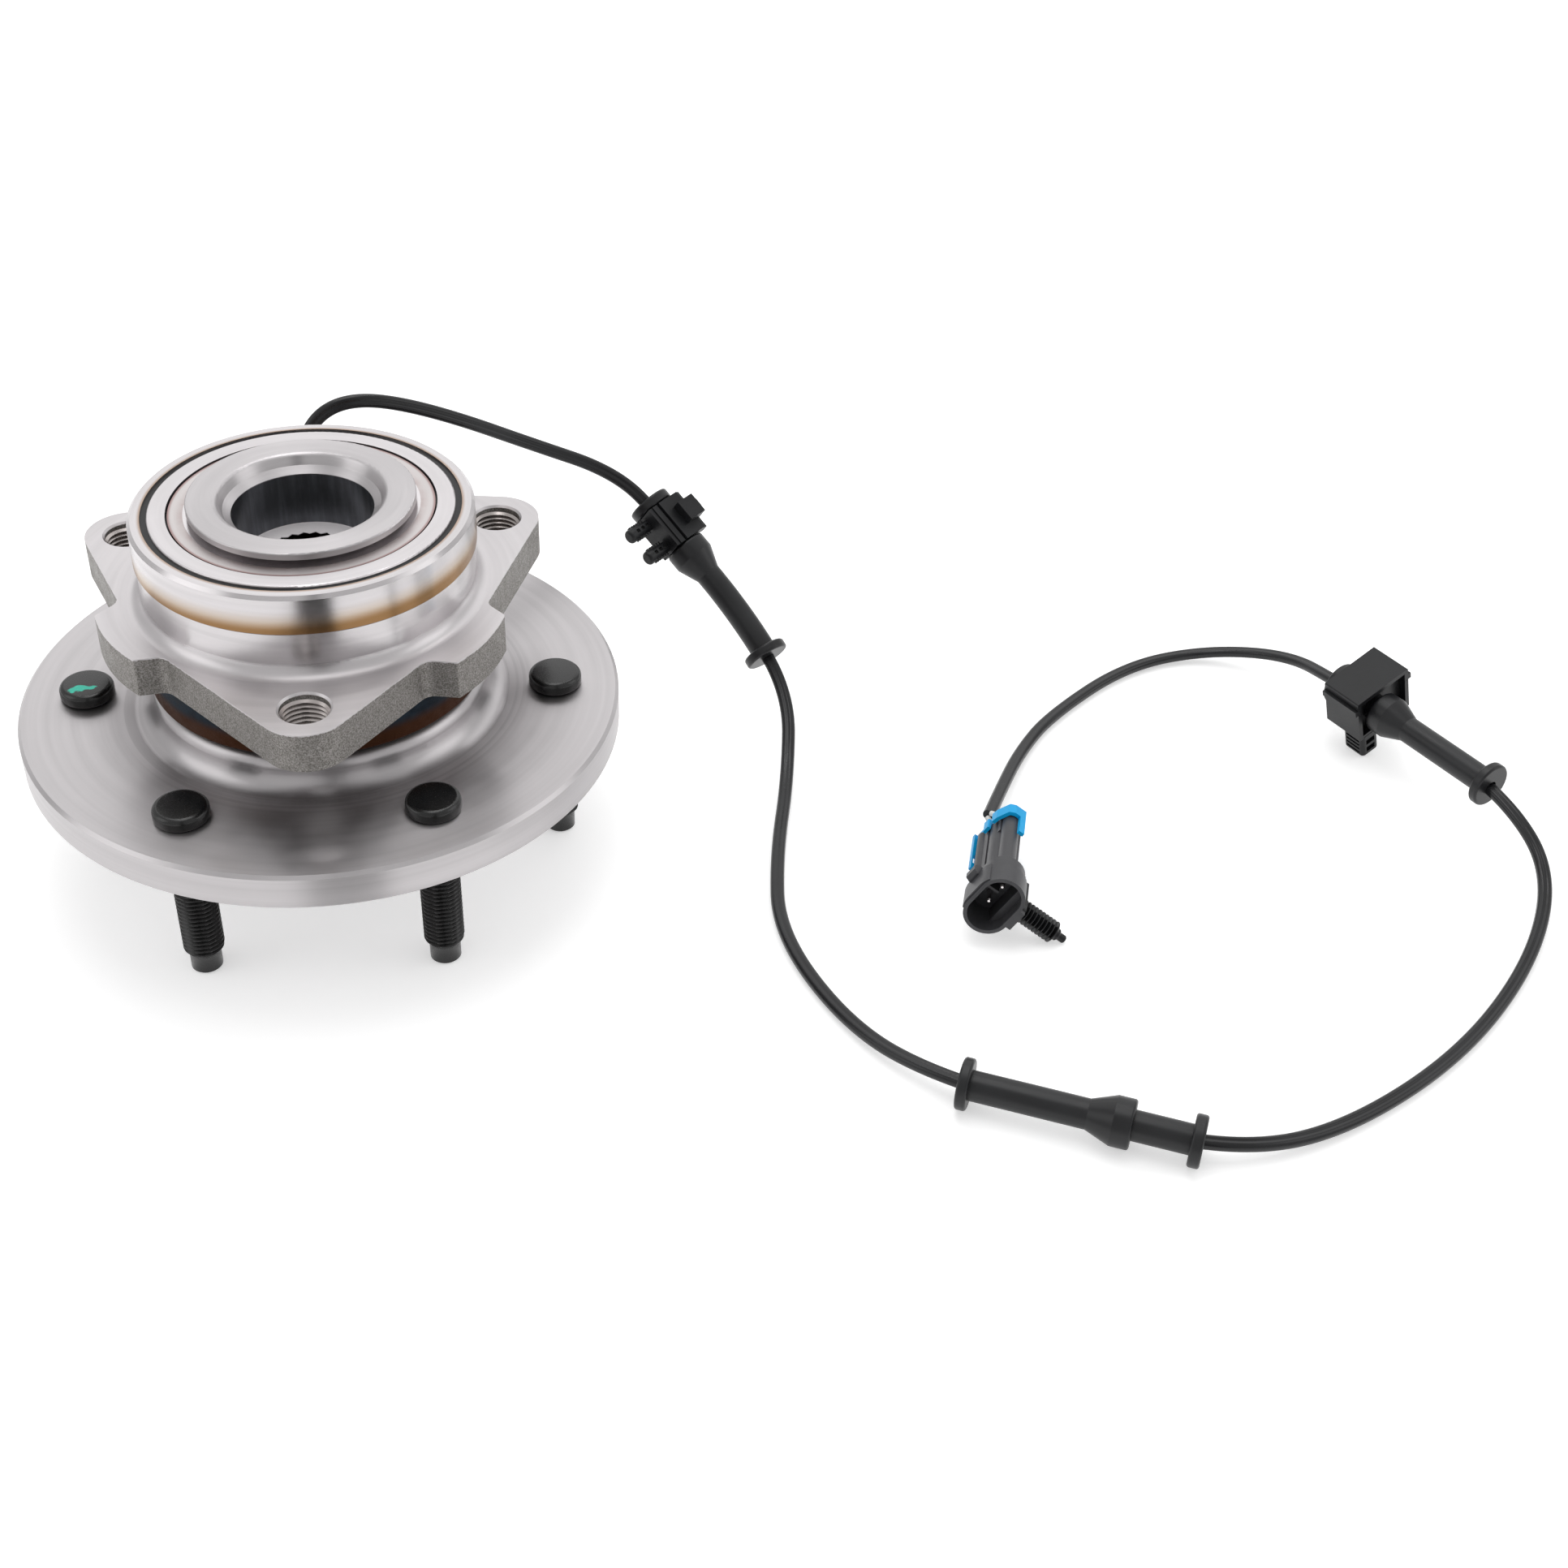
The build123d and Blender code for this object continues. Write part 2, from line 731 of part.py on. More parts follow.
def slinger_outboard():
    sleeve = slinger_seat_outboard + slinger_thick
    return turned(
        (slinger_seat_outboard, hub_shoulder),
        (slinger_rim_radius, hub_shoulder),
        (slinger_rim_radius, hub_shoulder + slinger_thick),
        (sleeve, hub_shoulder + slinger_thick),
        (sleeve, hub_shoulder + slinger_sleeve_length),
        (slinger_seat_outboard, hub_shoulder + slinger_sleeve_length),
    )


def tone_ring():
    """Toothed ring that the sensor reads."""
    ring = turned(
        (slinger_seat_outboard, tone_bottom),
        (tone_radius, tone_bottom),
        (tone_radius, tone_top),
        (slinger_seat_outboard, tone_top),
    )
    slot = block(
        (tone_radius - tone_slot_depth, -tone_slot_width / 2, tone_bottom - 1),
        (tone_radius + 1, tone_slot_width / 2, tone_top + 1),
    )
    for tooth in range(tone_teeth):
        ring -= Rot(0, 0, tooth * 360 / tone_teeth) * slot
    return ring


# ---- Speed sensor --------------------------------------------------------------------
# In the sensor's frame Y points out along its nose, X along its ear, and Z inboard.
sensor_angle = math.degrees(math.atan2(-cable_points[0][0], cable_points[0][1]))
sensor_cable_reach = math.hypot(cable_points[0][0], cable_points[0][1])
sensor_nose_radius = sensor_hole_radius - sensor_nose_play
ear_face = sensor_pad_face + sensor_ear_thick


def sensor_frame():
    return Rot(0, 0, sensor_angle)


def sensor_body():
    head = block(
        (-sensor_head_half, sensor_pad_face, sensor_head_bottom),
        (sensor_head_half, sensor_head_end, sensor_head_top),
    )
    head = fillet(head.edges().filter_by(Axis.Y), sensor_head_rounding)
    ear = block(
        (0, sensor_pad_face, sensor_height - screw_flange_radius - sensor_ear_foot),
        (sensor_ear_end, ear_face, sensor_height + screw_flange_radius),
    )
    ear = fillet(ear.edges().filter_by(Axis.Y).sort_by(Axis.X)[-2:], sensor_ear_rounding)
    nose = rod(
        (0, sensor_nose_end, sensor_height), (0, sensor_pad_face, sensor_height), sensor_nose_radius
    )
    gland = rod(
        (0, sensor_cable_reach, sensor_head_top - 1), (0, sensor_cable_reach, gland_top), gland_radius
    )
    body = head + ear + nose + gland
    body -= rod(
        (sensor_screw_offset, sensor_pad_face - 1, sensor_height),
        (sensor_screw_offset, ear_face + 1, sensor_height),
        sensor_screw_radius + screw_hole_play,
    )
    groove = o_ring_section * 2 + o_ring_play * 2
    body -= o_ring_place() * (
        Cylinder(sensor_nose_radius + 1, groove) - Cylinder(o_ring_middle() - o_ring_section, groove)
    )
    return sensor_frame() * body


def o_ring_middle():
    """Radius of the O-ring's centre line, which seats it against the hole."""
    return sensor_hole_radius - o_ring_play - o_ring_section


def o_ring_place():
    middle = (ring_radius + seal_seat_radius) / 2
    return Plane(origin=(0, middle, sensor_height), z_dir=(0, 1, 0))


def sensor_o_ring():
    return sensor_frame() * (o_ring_place() * Torus(o_ring_middle(), o_ring_section))


def sensor_screw():
    """Flanged hexagon screw through the sensor's ear into the pad."""
    place = Plane(origin=(sensor_screw_offset, ear_face, sensor_height), z_dir=(0, 1, 0))
    hexagon = RegularPolygon(screw_hex_radius, 6)
    head = extrude(hexagon, screw_head_height) + Pos(0, 0, screw_flange_height / 2) * Cylinder(
        screw_flange_radius, screw_flange_height
    )
    shank_length = ear_face - sensor_screw_end
    shank = Pos(0, 0, -shank_length / 2) * Cylinder(sensor_screw_radius, shank_length)
    return sensor_frame() * (place * (head + shank))


# ---- Cable and grommets --------------------------------------------------------------
def rounded_path(points):
    """Straight runs joined by tangent arcs as large as the runs allow."""
    points = [Vector(*point) for point in points]
    radii = []
    for before, here, after in zip(points, points[1:], points[2:]):
        turn = math.radians((here - before).get_angle(after - here))
        shorter = min((here - before).length, (after - here).length)
        radii.append(arc_share * shorter / math.tan(turn / 2))
    return FilletPolyline(*points, radius=radii), radii


def tube(path, radius):
    start = Plane(origin=path @ 0, z_dir=path % 0)
    return sweep(start * Circle(radius), path=path)


def grommet_head(play=0.0):
    """Collar, neck for a clip, bell and taper, each grown by play."""
    neck_start = grommet_collar_thick + play
    bell_start = grommet_collar_thick + grommet_neck_length - play
    bell_end = grommet_collar_thick + grommet_neck_length + grommet_bell_length
    taper_end = bell_end + grommet_taper_length
    return turned(
        (0, -play),
        (grommet_collar_radius + play, -play, grommet_rounding),
        (grommet_collar_radius + play, neck_start, grommet_rounding),
        (grommet_neck_radius + play, neck_start),
        (grommet_neck_radius + play, bell_start),
        (grommet_bell_radius + play, bell_start, grommet_rounding),
        (grommet_bell_radius + play, bell_end),
        (grommet_tube_radius + play, taper_end),
        (0, taper_end),
    )


def grommet_disc():
    return turned(
        (0, 0),
        (grommet_collar_radius, 0, grommet_rounding),
        (grommet_collar_radius, grommet_end_thick, grommet_rounding),
        (0, grommet_end_thick),
    )


def grommet(name, cable_hole):
    """Head on a straight line, then a long tube, straight or bent, with a disc at its end."""
    collar, aim = grommet_places[name]
    way = (Vector(*aim) - Vector(*collar)).normalized()
    head_length = (
        grommet_collar_thick + grommet_neck_length + grommet_bell_length + grommet_taper_length
    )
    start = Vector(*collar) + way * head_length
    if name in grommet_tube_ends:
        run = TangentArc(start, grommet_tube_ends[name], tangent=way)
    else:
        run = Line(start, start + way * grommet_tube_length)
    body = frame_along(collar, aim, (0, 0, 1)) * grommet_head() + tube(run, grommet_tube_radius)
    return body + Plane(origin=run @ 1, z_dir=run % 1) * grommet_disc() - cable_hole


def neck_span():
    """Start and end of the room that a clip has on a grommet's neck."""
    start = grommet_collar_thick + clip_end_play
    return start, grommet_collar_thick + grommet_neck_length - clip_end_play


# ---- Twin pin clip on the first grommet ----------------------------------------------
# In its frame Z runs along the cable, X towards the pins and -Y out of the main face.
def clip_twin_pin():
    start, end = neck_span()
    middle = (start + end) / 2
    body = block(
        (-pin_clip_half_width, -pin_clip_front, start), (pin_clip_base, pin_clip_back, end)
    )
    body = fillet(body.edges().filter_by(Axis.Z), pin_clip_rounding)
    step_face = pin_clip_rail / 2 - pin_clip_front
    body -= block(
        (pin_clip_step, -pin_clip_front - 1, start - 1), (pin_clip_base + 1, step_face, end + 1)
    )
    body -= block(
        (pin_clip_step, -pin_clip_front - 1, start - 1),
        (pin_clip_step + pin_clip_groove, step_face + pin_clip_groove, end + 1),
    )
    body += block(
        (pin_clip_base - 1, -pin_clip_base_front, start),
        (pin_clip_base + pin_clip_base_thick, pin_clip_base_back, end),
    )
    strip_face = pin_clip_rail - pin_clip_front
    strip_side = -pin_clip_half_width - pin_clip_rail
    body += block(
        (strip_side, strip_face, start),
        (1 - pin_clip_half_width, strip_face + 2 * pin_clip_rail, end),
    )
    tab_top = -pin_clip_front - pin_clip_tab_height
    half_tab = pin_clip_tab_length / 2
    body += block(
        (strip_side, tab_top, middle - half_tab),
        (strip_side + pin_clip_tab_width, strip_face, middle + half_tab),
    )
    body += block(
        (strip_side - pin_clip_nub, tab_top + pin_clip_nub, middle - 2 * pin_clip_nub),
        (-pin_clip_half_width, tab_top + 3 * pin_clip_nub, middle + 2 * pin_clip_nub),
    )
    body -= grommet_head(clip_neck_play)
    root = pin_clip_base + pin_clip_base_thick
    for side in (-1, 1):
        body += Pos(root, 0, middle + side * push_pin_pitch / 2) * push_pin()
    return frame_along(*grommet_places["grommet_1"], pin_clip_side) * body


def push_pin():
    """Panel pin along +X with a domed cap, windows and rows of thin barbs down its sides."""
    cap_start = push_pin_length - push_pin_cap_length
    pin = rod((-0.5, 0, 0), (cap_start, 0, 0), push_pin_radius)
    cap = rod((cap_start, 0, 0), (push_pin_length, 0, 0), push_pin_cap_radius)
    pin += fillet(cap.edges().sort_by(Axis.X)[-1:], push_pin_cap_radius * 0.4)
    half = push_pin_window / 2
    reach = push_pin_radius + push_pin_barb
    window_pitch = cap_start / 3
    for window in range(3):
        middle = window_pitch * (window + 0.5)
        pin -= block((middle - half, -reach, -half), (middle + half, reach, half))
        for barb in (middle, middle + window_pitch / 2):
            fin = block((barb, -half, -reach), (barb + push_pin_barb_thick, half, reach))
            pin += fin - block((barb, -half, -1.5), (barb + 1, half, 1.5))
    return pin


# ---- Box clip on the third grommet ---------------------------------------------------
# In its frame Z runs along the cable, X up out of the lid and Y across.
def box_clip_frame():
    return frame_along(*grommet_places["grommet_3"], box_clip_up)


def around_neck(body):
    """Seat a piece of the box clip round the grommet's neck, off centre as it is moulded."""
    seated = Pos(box_clip_rise, box_clip_shift, 0) * body - grommet_head(clip_neck_play)
    return box_clip_frame() * seated


def neck_ribs(low, high):
    """Two cross walls that grip the neck, as wide as the box."""
    start, end = neck_span()
    reach = box_clip_half_width - box_rib_seat
    ribs = []
    for side in (-1, 1):
        place = (start + end) / 2 + side * (end - start) / 4
        ribs.append(
            block((low, -reach, place - box_clip_wall / 2), (high, reach, place + box_clip_wall / 2))
        )
    return ribs


def clip_box():
    start, end = neck_span()
    top = box_clip_half_height - lid_height
    bottom = -box_clip_half_height
    half = box_clip_half_width
    inner = half - box_clip_wall
    body = block((bottom, -half, start), (top, half, end))
    body = fillet(body.edges().filter_by(Axis.Z).sort_by(Axis.X)[:2], pin_clip_rounding)
    body -= block((bottom + box_clip_wall, -inner, start - 1), (top + 1, inner, end + 1))
    for rib in neck_ribs(bottom + 1, top):
        body += rib
    pin = Pos(bottom, box_pin_side, (start + end) / 2 + box_pin_along) * box_pin()
    return around_neck(body + pin)


def box_pin():
    """Flat panel pin along -X: ladder rungs on its faces and windows through it."""
    half_width = box_pin_width / 2
    half_breadth = box_pin_breadth / 2
    pin = block((-box_pin_length, -half_width, -half_breadth), (0.5, half_width, half_breadth))
    pin = fillet(pin.edges().filter_by(Axis.X), box_pin_rounding)
    pin = fillet(pin.edges().group_by(Axis.X)[0], box_pin_rounding * 0.6)
    pitch = box_pin_length / (box_pin_rungs + 1)
    slot = Box(pitch / 2, 2 * box_pin_rung_depth, box_pin_breadth - 2 * box_pin_rounding)
    for rung in range(box_pin_rungs):
        for side in (-1, 1):
            pin -= Pos(pitch * (rung + 1) - box_pin_length, side * half_width, 0) * slot
    hole = Box(box_pin_window, box_pin_width / 2, box_pin_breadth + 2)
    for share in (0.32, 0.7):
        pin -= Pos((share - 1) * box_pin_length, 0, 0) * hole
    return pin


def clip_box_lid():
    start, end = neck_span()
    top = box_clip_half_height
    seam = top - lid_height + lid_play
    half = box_clip_half_width
    inner = half - box_clip_wall
    lid = block((seam, -half, start), (top, half, end))
    lid = fillet(lid.edges().filter_by(Axis.Z).sort_by(Axis.X)[-2:], pin_clip_rounding)
    lid += block((seam, -half - lid_lip, start), (seam + lid_lip_height, half + lid_lip, end))
    lid -= block((seam - 1, -inner, start - 1), (top - box_clip_wall, inner, end + 1))
    for rib in neck_ribs(seam, top - 1):
        lid += rib
    return around_neck(lid)


# ---- Connector -----------------------------------------------------------------------
# In its frame Z runs to the mating face, Y along the oval and X towards the fir tree pin.
def connector_frame():
    level = Vector(*connector_way).cross(Vector(0, 0, -1))
    roll = math.radians(connector_roll)
    side = level * math.sin(roll) - Vector(0, 0, 1) * math.cos(roll)
    rear = Vector(*connector_rear)
    return frame_along(rear, rear + Vector(*connector_way), side)


def oval(long, short, start, end):
    """Prism of a slot outline, long along Y."""
    return Pos(0, 0, start) * extrude(Rot(0, 0, 90) * SlotOverall(long, short), end - start)


def column(place, radius, start, end):
    return rod((*place, start), (*place, end), radius)


def connector_body():
    """Rear of the housing: a main, a key and a side column on a web that holds the wire seals."""
    end = connector_length - collar_length + 1
    half_pitch = terminal_pitch / 2
    side_x, side_y = side_column_place
    key_x, key_y = key_column_place
    body = column(main_column_place, main_column_radius, 0, end)
    body += column(key_column_place, key_column_radius, 0, end)
    body += column(side_column_place, side_column_radius, 0, end)
    body += block((-body_web, -2 * half_pitch, 0), (body_web, body_web_end, body_web_length))
    body += block((-body_rib, -2 * half_pitch, 0), (body_rib, key_y, end))
    body += block((side_x - 1, side_y, 0), (side_x + 1, -half_pitch, end))
    return body + block((key_x, key_y - 1, 0), (key_reach, key_side, end))


def connector_shroud():
    """Oval socket with a thicker latch side, a collar behind it, and the latch's wedge."""
    shroud_start = connector_length - shroud_length
    face = shroud_short / 2
    shroud = oval(shroud_long, shroud_short, shroud_start, connector_length)
    collar_long = shroud_long - 2 * collar_step
    collar_short = shroud_short - 2 * collar_step
    shroud += oval(collar_long, collar_short, connector_length - collar_length, shroud_start + 1)
    band_end = connector_length - band_rise
    band = oval(shroud_long, shroud_short + 2 * band_rise, shroud_start - band_rise, band_end)
    shroud += band & block((-shroud_long, -band_half, 0), (0, band_half, connector_length))
    wedge = block(
        (-face - latch_rise, latch_centre - latch_half, latch_start),
        (1 - face, latch_centre + latch_half, latch_start + latch_length),
    )
    shroud += chamfer(wedge.edges().filter_by(Axis.Y).sort_by(Axis.X)[:2], latch_rise / 2)
    rail_end = face + rail_height
    shroud += block(
        (face - 1, -rail_half_width, rail_start), (rail_end, rail_half_width, connector_length)
    )
    return shroud + block(
        (face - 1, -rail_half_width, connector_length - rail_stop_length),
        (rail_end + rail_stop_rise, rail_half_width, connector_length),
    )


def connector_socket():
    """What is cut from the shroud: a mouth that narrows at a ledge, less the dividing wall."""
    floor = connector_length - shroud_depth
    ledge = connector_length - shroud_ledge_drop
    inner_long = shroud_long - 2 * shroud_wall
    inner_short = shroud_short - 2 * shroud_wall
    mouth = oval(inner_long, inner_short, ledge, connector_length + 1)
    deep = oval(inner_long, inner_short, floor, ledge)
    deep &= block((-inner_long, -inner_long, floor), (shroud_ledge, inner_long, ledge))
    divider = block(
        (-inner_short, -divider_thick / 2, floor),
        (divider_reach, divider_thick / 2, floor + divider_height),
    )
    return mouth + (deep - divider)


def connector_shell():
    shell = connector_body() + connector_shroud() - connector_socket()
    for side in (-1, 1):
        hole = (0, side * terminal_pitch / 2)
        shell -= column(hole, wire_seal_radius + lock_gap, -1, wire_seal_length + lock_gap)
        shell -= column(hole, wire_radius + wire_play, 0, terminal_root + wire_play)
        shell -= column(hole, terminal_radius + wire_play, 0, connector_length)
    return connector_frame() * shell


def connector_seal():
    plugs = []
    for side in (-1, 1):
        hole = (0, side * terminal_pitch / 2)
        plug = column(hole, wire_seal_radius, wire_gap, wire_seal_length)
        plug -= column(hole, wire_radius + wire_play, 0, terminal_root)
        plugs.append(connector_frame() * plug)
    return plugs


def connector_terminals():
    pins = []
    for side in (-1, 1):
        hole = (0, side * terminal_pitch / 2)
        pin = column(hole, terminal_radius, terminal_root, connector_length - terminal_recess)
        tip = chamfer(pin.edges().sort_by(Axis.Z)[-1:], terminal_radius * 0.5)
        pins.append(connector_frame() * tip)
    return pins


def signal_wires():
    """The two cores that leave the jacket, enter the wire seals and end at the terminals."""
    jacket_end = Vector(*cable_points[-1])
    frame = connector_frame()
    way = (jacket_end - Vector(*cable_points[-2])).normalized()
    spread = frame.y_dir - way * frame.y_dir.dot(way)
    wires = []
    for side in (-1, 1):
        hole = side * terminal_pitch / 2
        start = jacket_end + way * wire_gap + spread * (side * (wire_radius + wire_play))
        mouth = frame.from_local_coords((0, hole, -wire_gap))
        end = frame.from_local_coords((0, hole, terminal_root))
        path, radii = rounded_path([start, mouth, end])
        wires.append(tube(path, wire_radius))
    return wires


def connector_lock():
    """Clip-on lock: a plate behind the body, open to the wires, with a band and an arm round
    the key column, a cover on the latch side, and a leg with a loop down the side column."""
    side_x, side_y = side_column_place
    column_side = side_y - side_column_radius - lock_gap
    low = column_side - lock_thick
    body_face = main_column_place[0] - main_column_radius - lock_gap
    band_start = lock_band[0][1]
    band_side = lock_band[-1][1]
    outline = [(body_face, low), (body_face, band_start), *lock_band, (body_web, low)]
    plate = Pos(0, 0, -lock_back) * extrude(
        make_face(Polyline(*outline, close=True)), lock_back - lock_gap
    )
    plate -= block(
        (-lock_window_latch, column_side + 1, -9), (lock_window_rail, band_side - 1, 1)
    )
    plate -= block((body_face - 1, lock_cover_end, -9), (-1, band_start + lock_thick, 1))
    band = trace(Polyline(*lock_band), line_width=lock_thick)
    lock = plate + Pos(0, 0, -lock_back) * extrude(band, 2 * lock_back)
    arm = trace(Polyline((lock_arm_start, band_side), lock_band[-1]), line_width=lock_thick)
    lock += Pos(0, 0, -lock_back) * extrude(arm, lock_back + lock_arm_length)
    cover = block(
        (body_face - lock_thick, lock_cover_end - lock_cover_length, -lock_back),
        (body_face, lock_cover_end, lock_back),
    )
    lock += fillet(cover.edges().filter_by(Axis.Z).sort_by(Axis.X)[:2], lock_rounding)
    leg = block(
        (side_x - 2 * lock_leg_half, low, -lock_back), (side_x, column_side, lock_leg_length)
    )
    leg -= block(
        (side_x - 1.5 * lock_leg_half, low - 1, lock_loop_start),
        (side_x - 0.5 * lock_leg_half, column_side + 1, lock_loop_end),
    )
    return connector_frame() * (lock + leg)


def fir_tree():
    """Panel pin turned about +Z, its thin round fins raked back towards the root."""
    corners = [(0, -1), (fir_core_radius, -1)]
    for fin in range(fir_fin_count):
        start = fir_neck + fin * fir_fin_pitch
        corners += [
            (fir_core_radius, start),
            (fir_fin_radius, start - fir_fin_rake),
            (fir_fin_radius, start - fir_fin_rake + fir_fin_edge),
            (fir_core_radius, start + fir_fin_root),
        ]
    shaft_end = fir_neck + fir_fin_count * fir_fin_pitch
    corners += [
        (fir_core_radius, shaft_end),
        (fir_tip_radius, shaft_end + fir_core_radius - fir_tip_radius),
        (fir_tip_radius, shaft_end + fir_tip_length, fir_tip_radius / 2),
        (0, shaft_end + fir_tip_length),
    ]
    return turned(*corners)


def connector_clip():
    """Fir tree pin on a base pad that slides onto the connector's rail."""
    pad = shroud_short / 2 + rail_height + lock_gap
    root = pad + fir_base_thick
    pad_end = connector_length - rail_stop_length - lock_gap
    clip = block((pad, -fir_base_half, pad_end - fir_base_length), (root, fir_base_half, pad_end))
    clip = fillet(clip.edges().filter_by(Axis.X), fir_base_rounding)
    clip += Plane(origin=(root, 0, fir_place), z_dir=(1, 0, 0)) * fir_tree()
    return connector_frame() * clip


# ---- Build ---------------------------------------------------------------------------
def build():
    save("outer_ring", outer_ring())
    save("wheel_hub", wheel_hub())
    save("wheel_studs", *wheel_studs())
    save("inner_ring_inboard", inner_ring_inboard())
    save("inner_ring_outboard", inner_ring_outboard())
    save("rollers_inboard", *rollers(row_centre_inboard, 1))
    save("cage_inboard", cage(row_centre_inboard, 1))
    save("rollers_outboard", *rollers(row_centre_outboard, -1))
    save("cage_outboard", cage(row_centre_outboard, -1))
    lip_inboard = ring_top - cone_inboard_top + slinger_thick + slinger_lip_gap
    lip_outboard = hub_shoulder + slinger_thick + slinger_lip_gap - ring_bottom
    save("seal_case_inboard", seal_case(ring_top, 1))
    save("seal_case_outboard", seal_case(ring_bottom, -1))
    save("seal_rubber_inboard", seal_rubber(ring_top, 1, lip_inboard))
    save("seal_rubber_outboard", seal_rubber(ring_bottom, -1, lip_outboard))
    save("slinger_inboard", slinger_inboard())
    save("slinger_outboard", slinger_outboard())
    save("tone_ring", tone_ring())
    save("sensor_body", sensor_body())
    save("sensor_o_ring", sensor_o_ring())
    save("sensor_screw", sensor_screw())
    path, radii = rounded_path(cable_points)
    print("cable arc radii:", [round(radius, 1) for radius in radii])
    cable = save("cable", tube(path, cable_radius))
    section = math.pi * cable_radius ** 2
    print("cable length", round(path.length, 1), "volume / (section x length)",
          round(cable.volume / (section * path.length), 5))
    cable_hole = tube(path, cable_radius + cable_play)
    for name in grommet_places:
        save(name, grommet(name, cable_hole))
    save("clip_twin_pin", clip_twin_pin())
    save("clip_box", clip_box())
    save("clip_box_lid", clip_box_lid())
    save("connector_shell", connector_shell())
    save("connector_seal", *connector_seal())
    save("connector_terminals", *connector_terminals())
    save("connector_lock", connector_lock())
    save("connector_clip", connector_clip())
    save("signal_wires", *signal_wires())


build()
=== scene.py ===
"""Looks of a wheel hub bearing with its speed sensor harness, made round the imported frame.

Everything is in metres, in the frame's own axes: the origin is on the spin axis at the wheel
mounting face, +Z points inboard and the stud tips stand on the floor.
"""
import math

import bmesh
import bpy
from mathutils import Matrix, Quaternion, Vector


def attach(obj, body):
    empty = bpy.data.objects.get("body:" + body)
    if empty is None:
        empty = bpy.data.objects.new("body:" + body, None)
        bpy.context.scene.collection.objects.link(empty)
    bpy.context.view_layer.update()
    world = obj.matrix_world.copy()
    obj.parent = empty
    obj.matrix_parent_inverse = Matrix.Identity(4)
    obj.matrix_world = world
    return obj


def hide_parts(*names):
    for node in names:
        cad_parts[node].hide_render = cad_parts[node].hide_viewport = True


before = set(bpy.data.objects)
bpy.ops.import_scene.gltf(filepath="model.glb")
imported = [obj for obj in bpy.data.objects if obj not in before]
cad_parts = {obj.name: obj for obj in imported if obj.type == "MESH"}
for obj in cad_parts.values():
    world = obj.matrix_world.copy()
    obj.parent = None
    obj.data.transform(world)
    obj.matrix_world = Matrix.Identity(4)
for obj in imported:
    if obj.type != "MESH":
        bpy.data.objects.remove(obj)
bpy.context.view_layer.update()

mm = 0.001

# ---- Sizes shared with the CAD pieces, in millimetres -------------------------------------------
floor_height = -44.6
hub_rest_angle = -2.68
wheel_flange_thick = 11.5
stud_count = 6
stud_circle = 139.7
stud_radius = 6.0
stud_root_radius = 5.1
stud_pitch = 1.5
stud_knurl_radius = 6.5
stud_head_radius = 8.0
stud_head_height = 4.2
stud_head_rounding = 1.7
stud_head_foot = 0.8
stud_tip = -44.6
stud_dog_radius = 4.6
stud_dog_length = 6.3
stud_dog_chamfer = 0.8
stud_thread_top = -1.0
knuckle_circle = 127.2
knuckle_hole_radius = 7.0
knuckle_thread_pitch = 1.5
knuckle_thread_crest = 6.19
knuckle_thread_embed = 0.04
knuckle_thread_chamfer = 0.8
first_lobe_angle = -90.0
flange_bottom = 37.6
flange_top = 49.7
lobe_count = 3
paint_place = (-70.4, 0.8, 15.7)

# ---- Harness ------------------------------------------------------------------------------------
cable_points = [
    (-6.7, 67.3, 40.0), (-6.7, 67.3, 50.5), (-1.5, 71.2, 62.6), (5.8, 74.3, 67.7),
    (16.0, 76.0, 68.7), (29.4, 80.7, 63.6), (46.7, 85.9, 54.6), (66.8, 93.5, 41.5),
    (96.6, 94.3, 28.2), (111.6, 85.7, 13.9), (135.2, 62.6, -9.1), (150.0, 39.2, -27.4),
    (145.6, 9.3, -41.6), (136.7, -27.8, -42.4), (131.9, -65.7, -42.2), (146.9, -108.2, -42.4),
    (168.0, -134.5, -38.5), (204.0, -154.5, -37.0), (240.0, -170.0, -38.0), (274.3, -164.0, -42.3),
    (321.2, -138.4, -42.4), (359.7, -100.9, -42.4), (378.7, -67.4, -37.5), (371.5, -45.5, -26.3),
    (357.5, -12.0, -24.7), (338.6, 25.5, -26.0), (332.6, 53.8, -34.0), (308.3, 70.2, -41.5),
    (276.3, 64.3, -42.4), (241.6, 36.7, -42.4), (226.4, 17.0, -42.0), (214.0, -7.0, -38.6),
    (206.1, -24.1, -35.0),
]
cable_width = 4.4
cable_thick = 3.5
cable_groove = 0.35

# ---- Finish bands -------------------------------------------------------------------------------
# Where a finish begins and ends, in metres: a radius from the spin axis or a height above the face.
boss_inner_edge = (0.0500, 0.0530)
boss_outer_edge = (0.0590, 0.0640)
bore_edge = (0.0206, 0.0210)
bore_wall_foot = (0.05785, 0.05800)
bore_wall_head = (0.0738, 0.0744)
spline_edge = (0.0150, 0.0152)
spline_head = (0.0573, 0.0576)
ledge_foot = (0.0574, 0.0576)
ledge_head = (0.0578, 0.0579)
grease_edge = (0.0335, 0.0362)
slinger_gap_edge = (0.0366, 0.0375)
tint_foot = (0.0632, 0.0636)
pale_tint_head = (0.0668, 0.0730)
deep_tint_head = (0.0660, 0.0695)
rim_edge = (0.0452, 0.0463)
rim_foot = (0.0750, 0.0753)
rust_head = (0.0262, 0.0300)
scale_head = (0.0374, 0.0377)
scale_edge = (0.0465, 0.0470)
cast_edge = (0.0526, 0.0530)
burr_foot = (0.04970, 0.04990)
waist_finish_head = (0.0510, 0.0540)

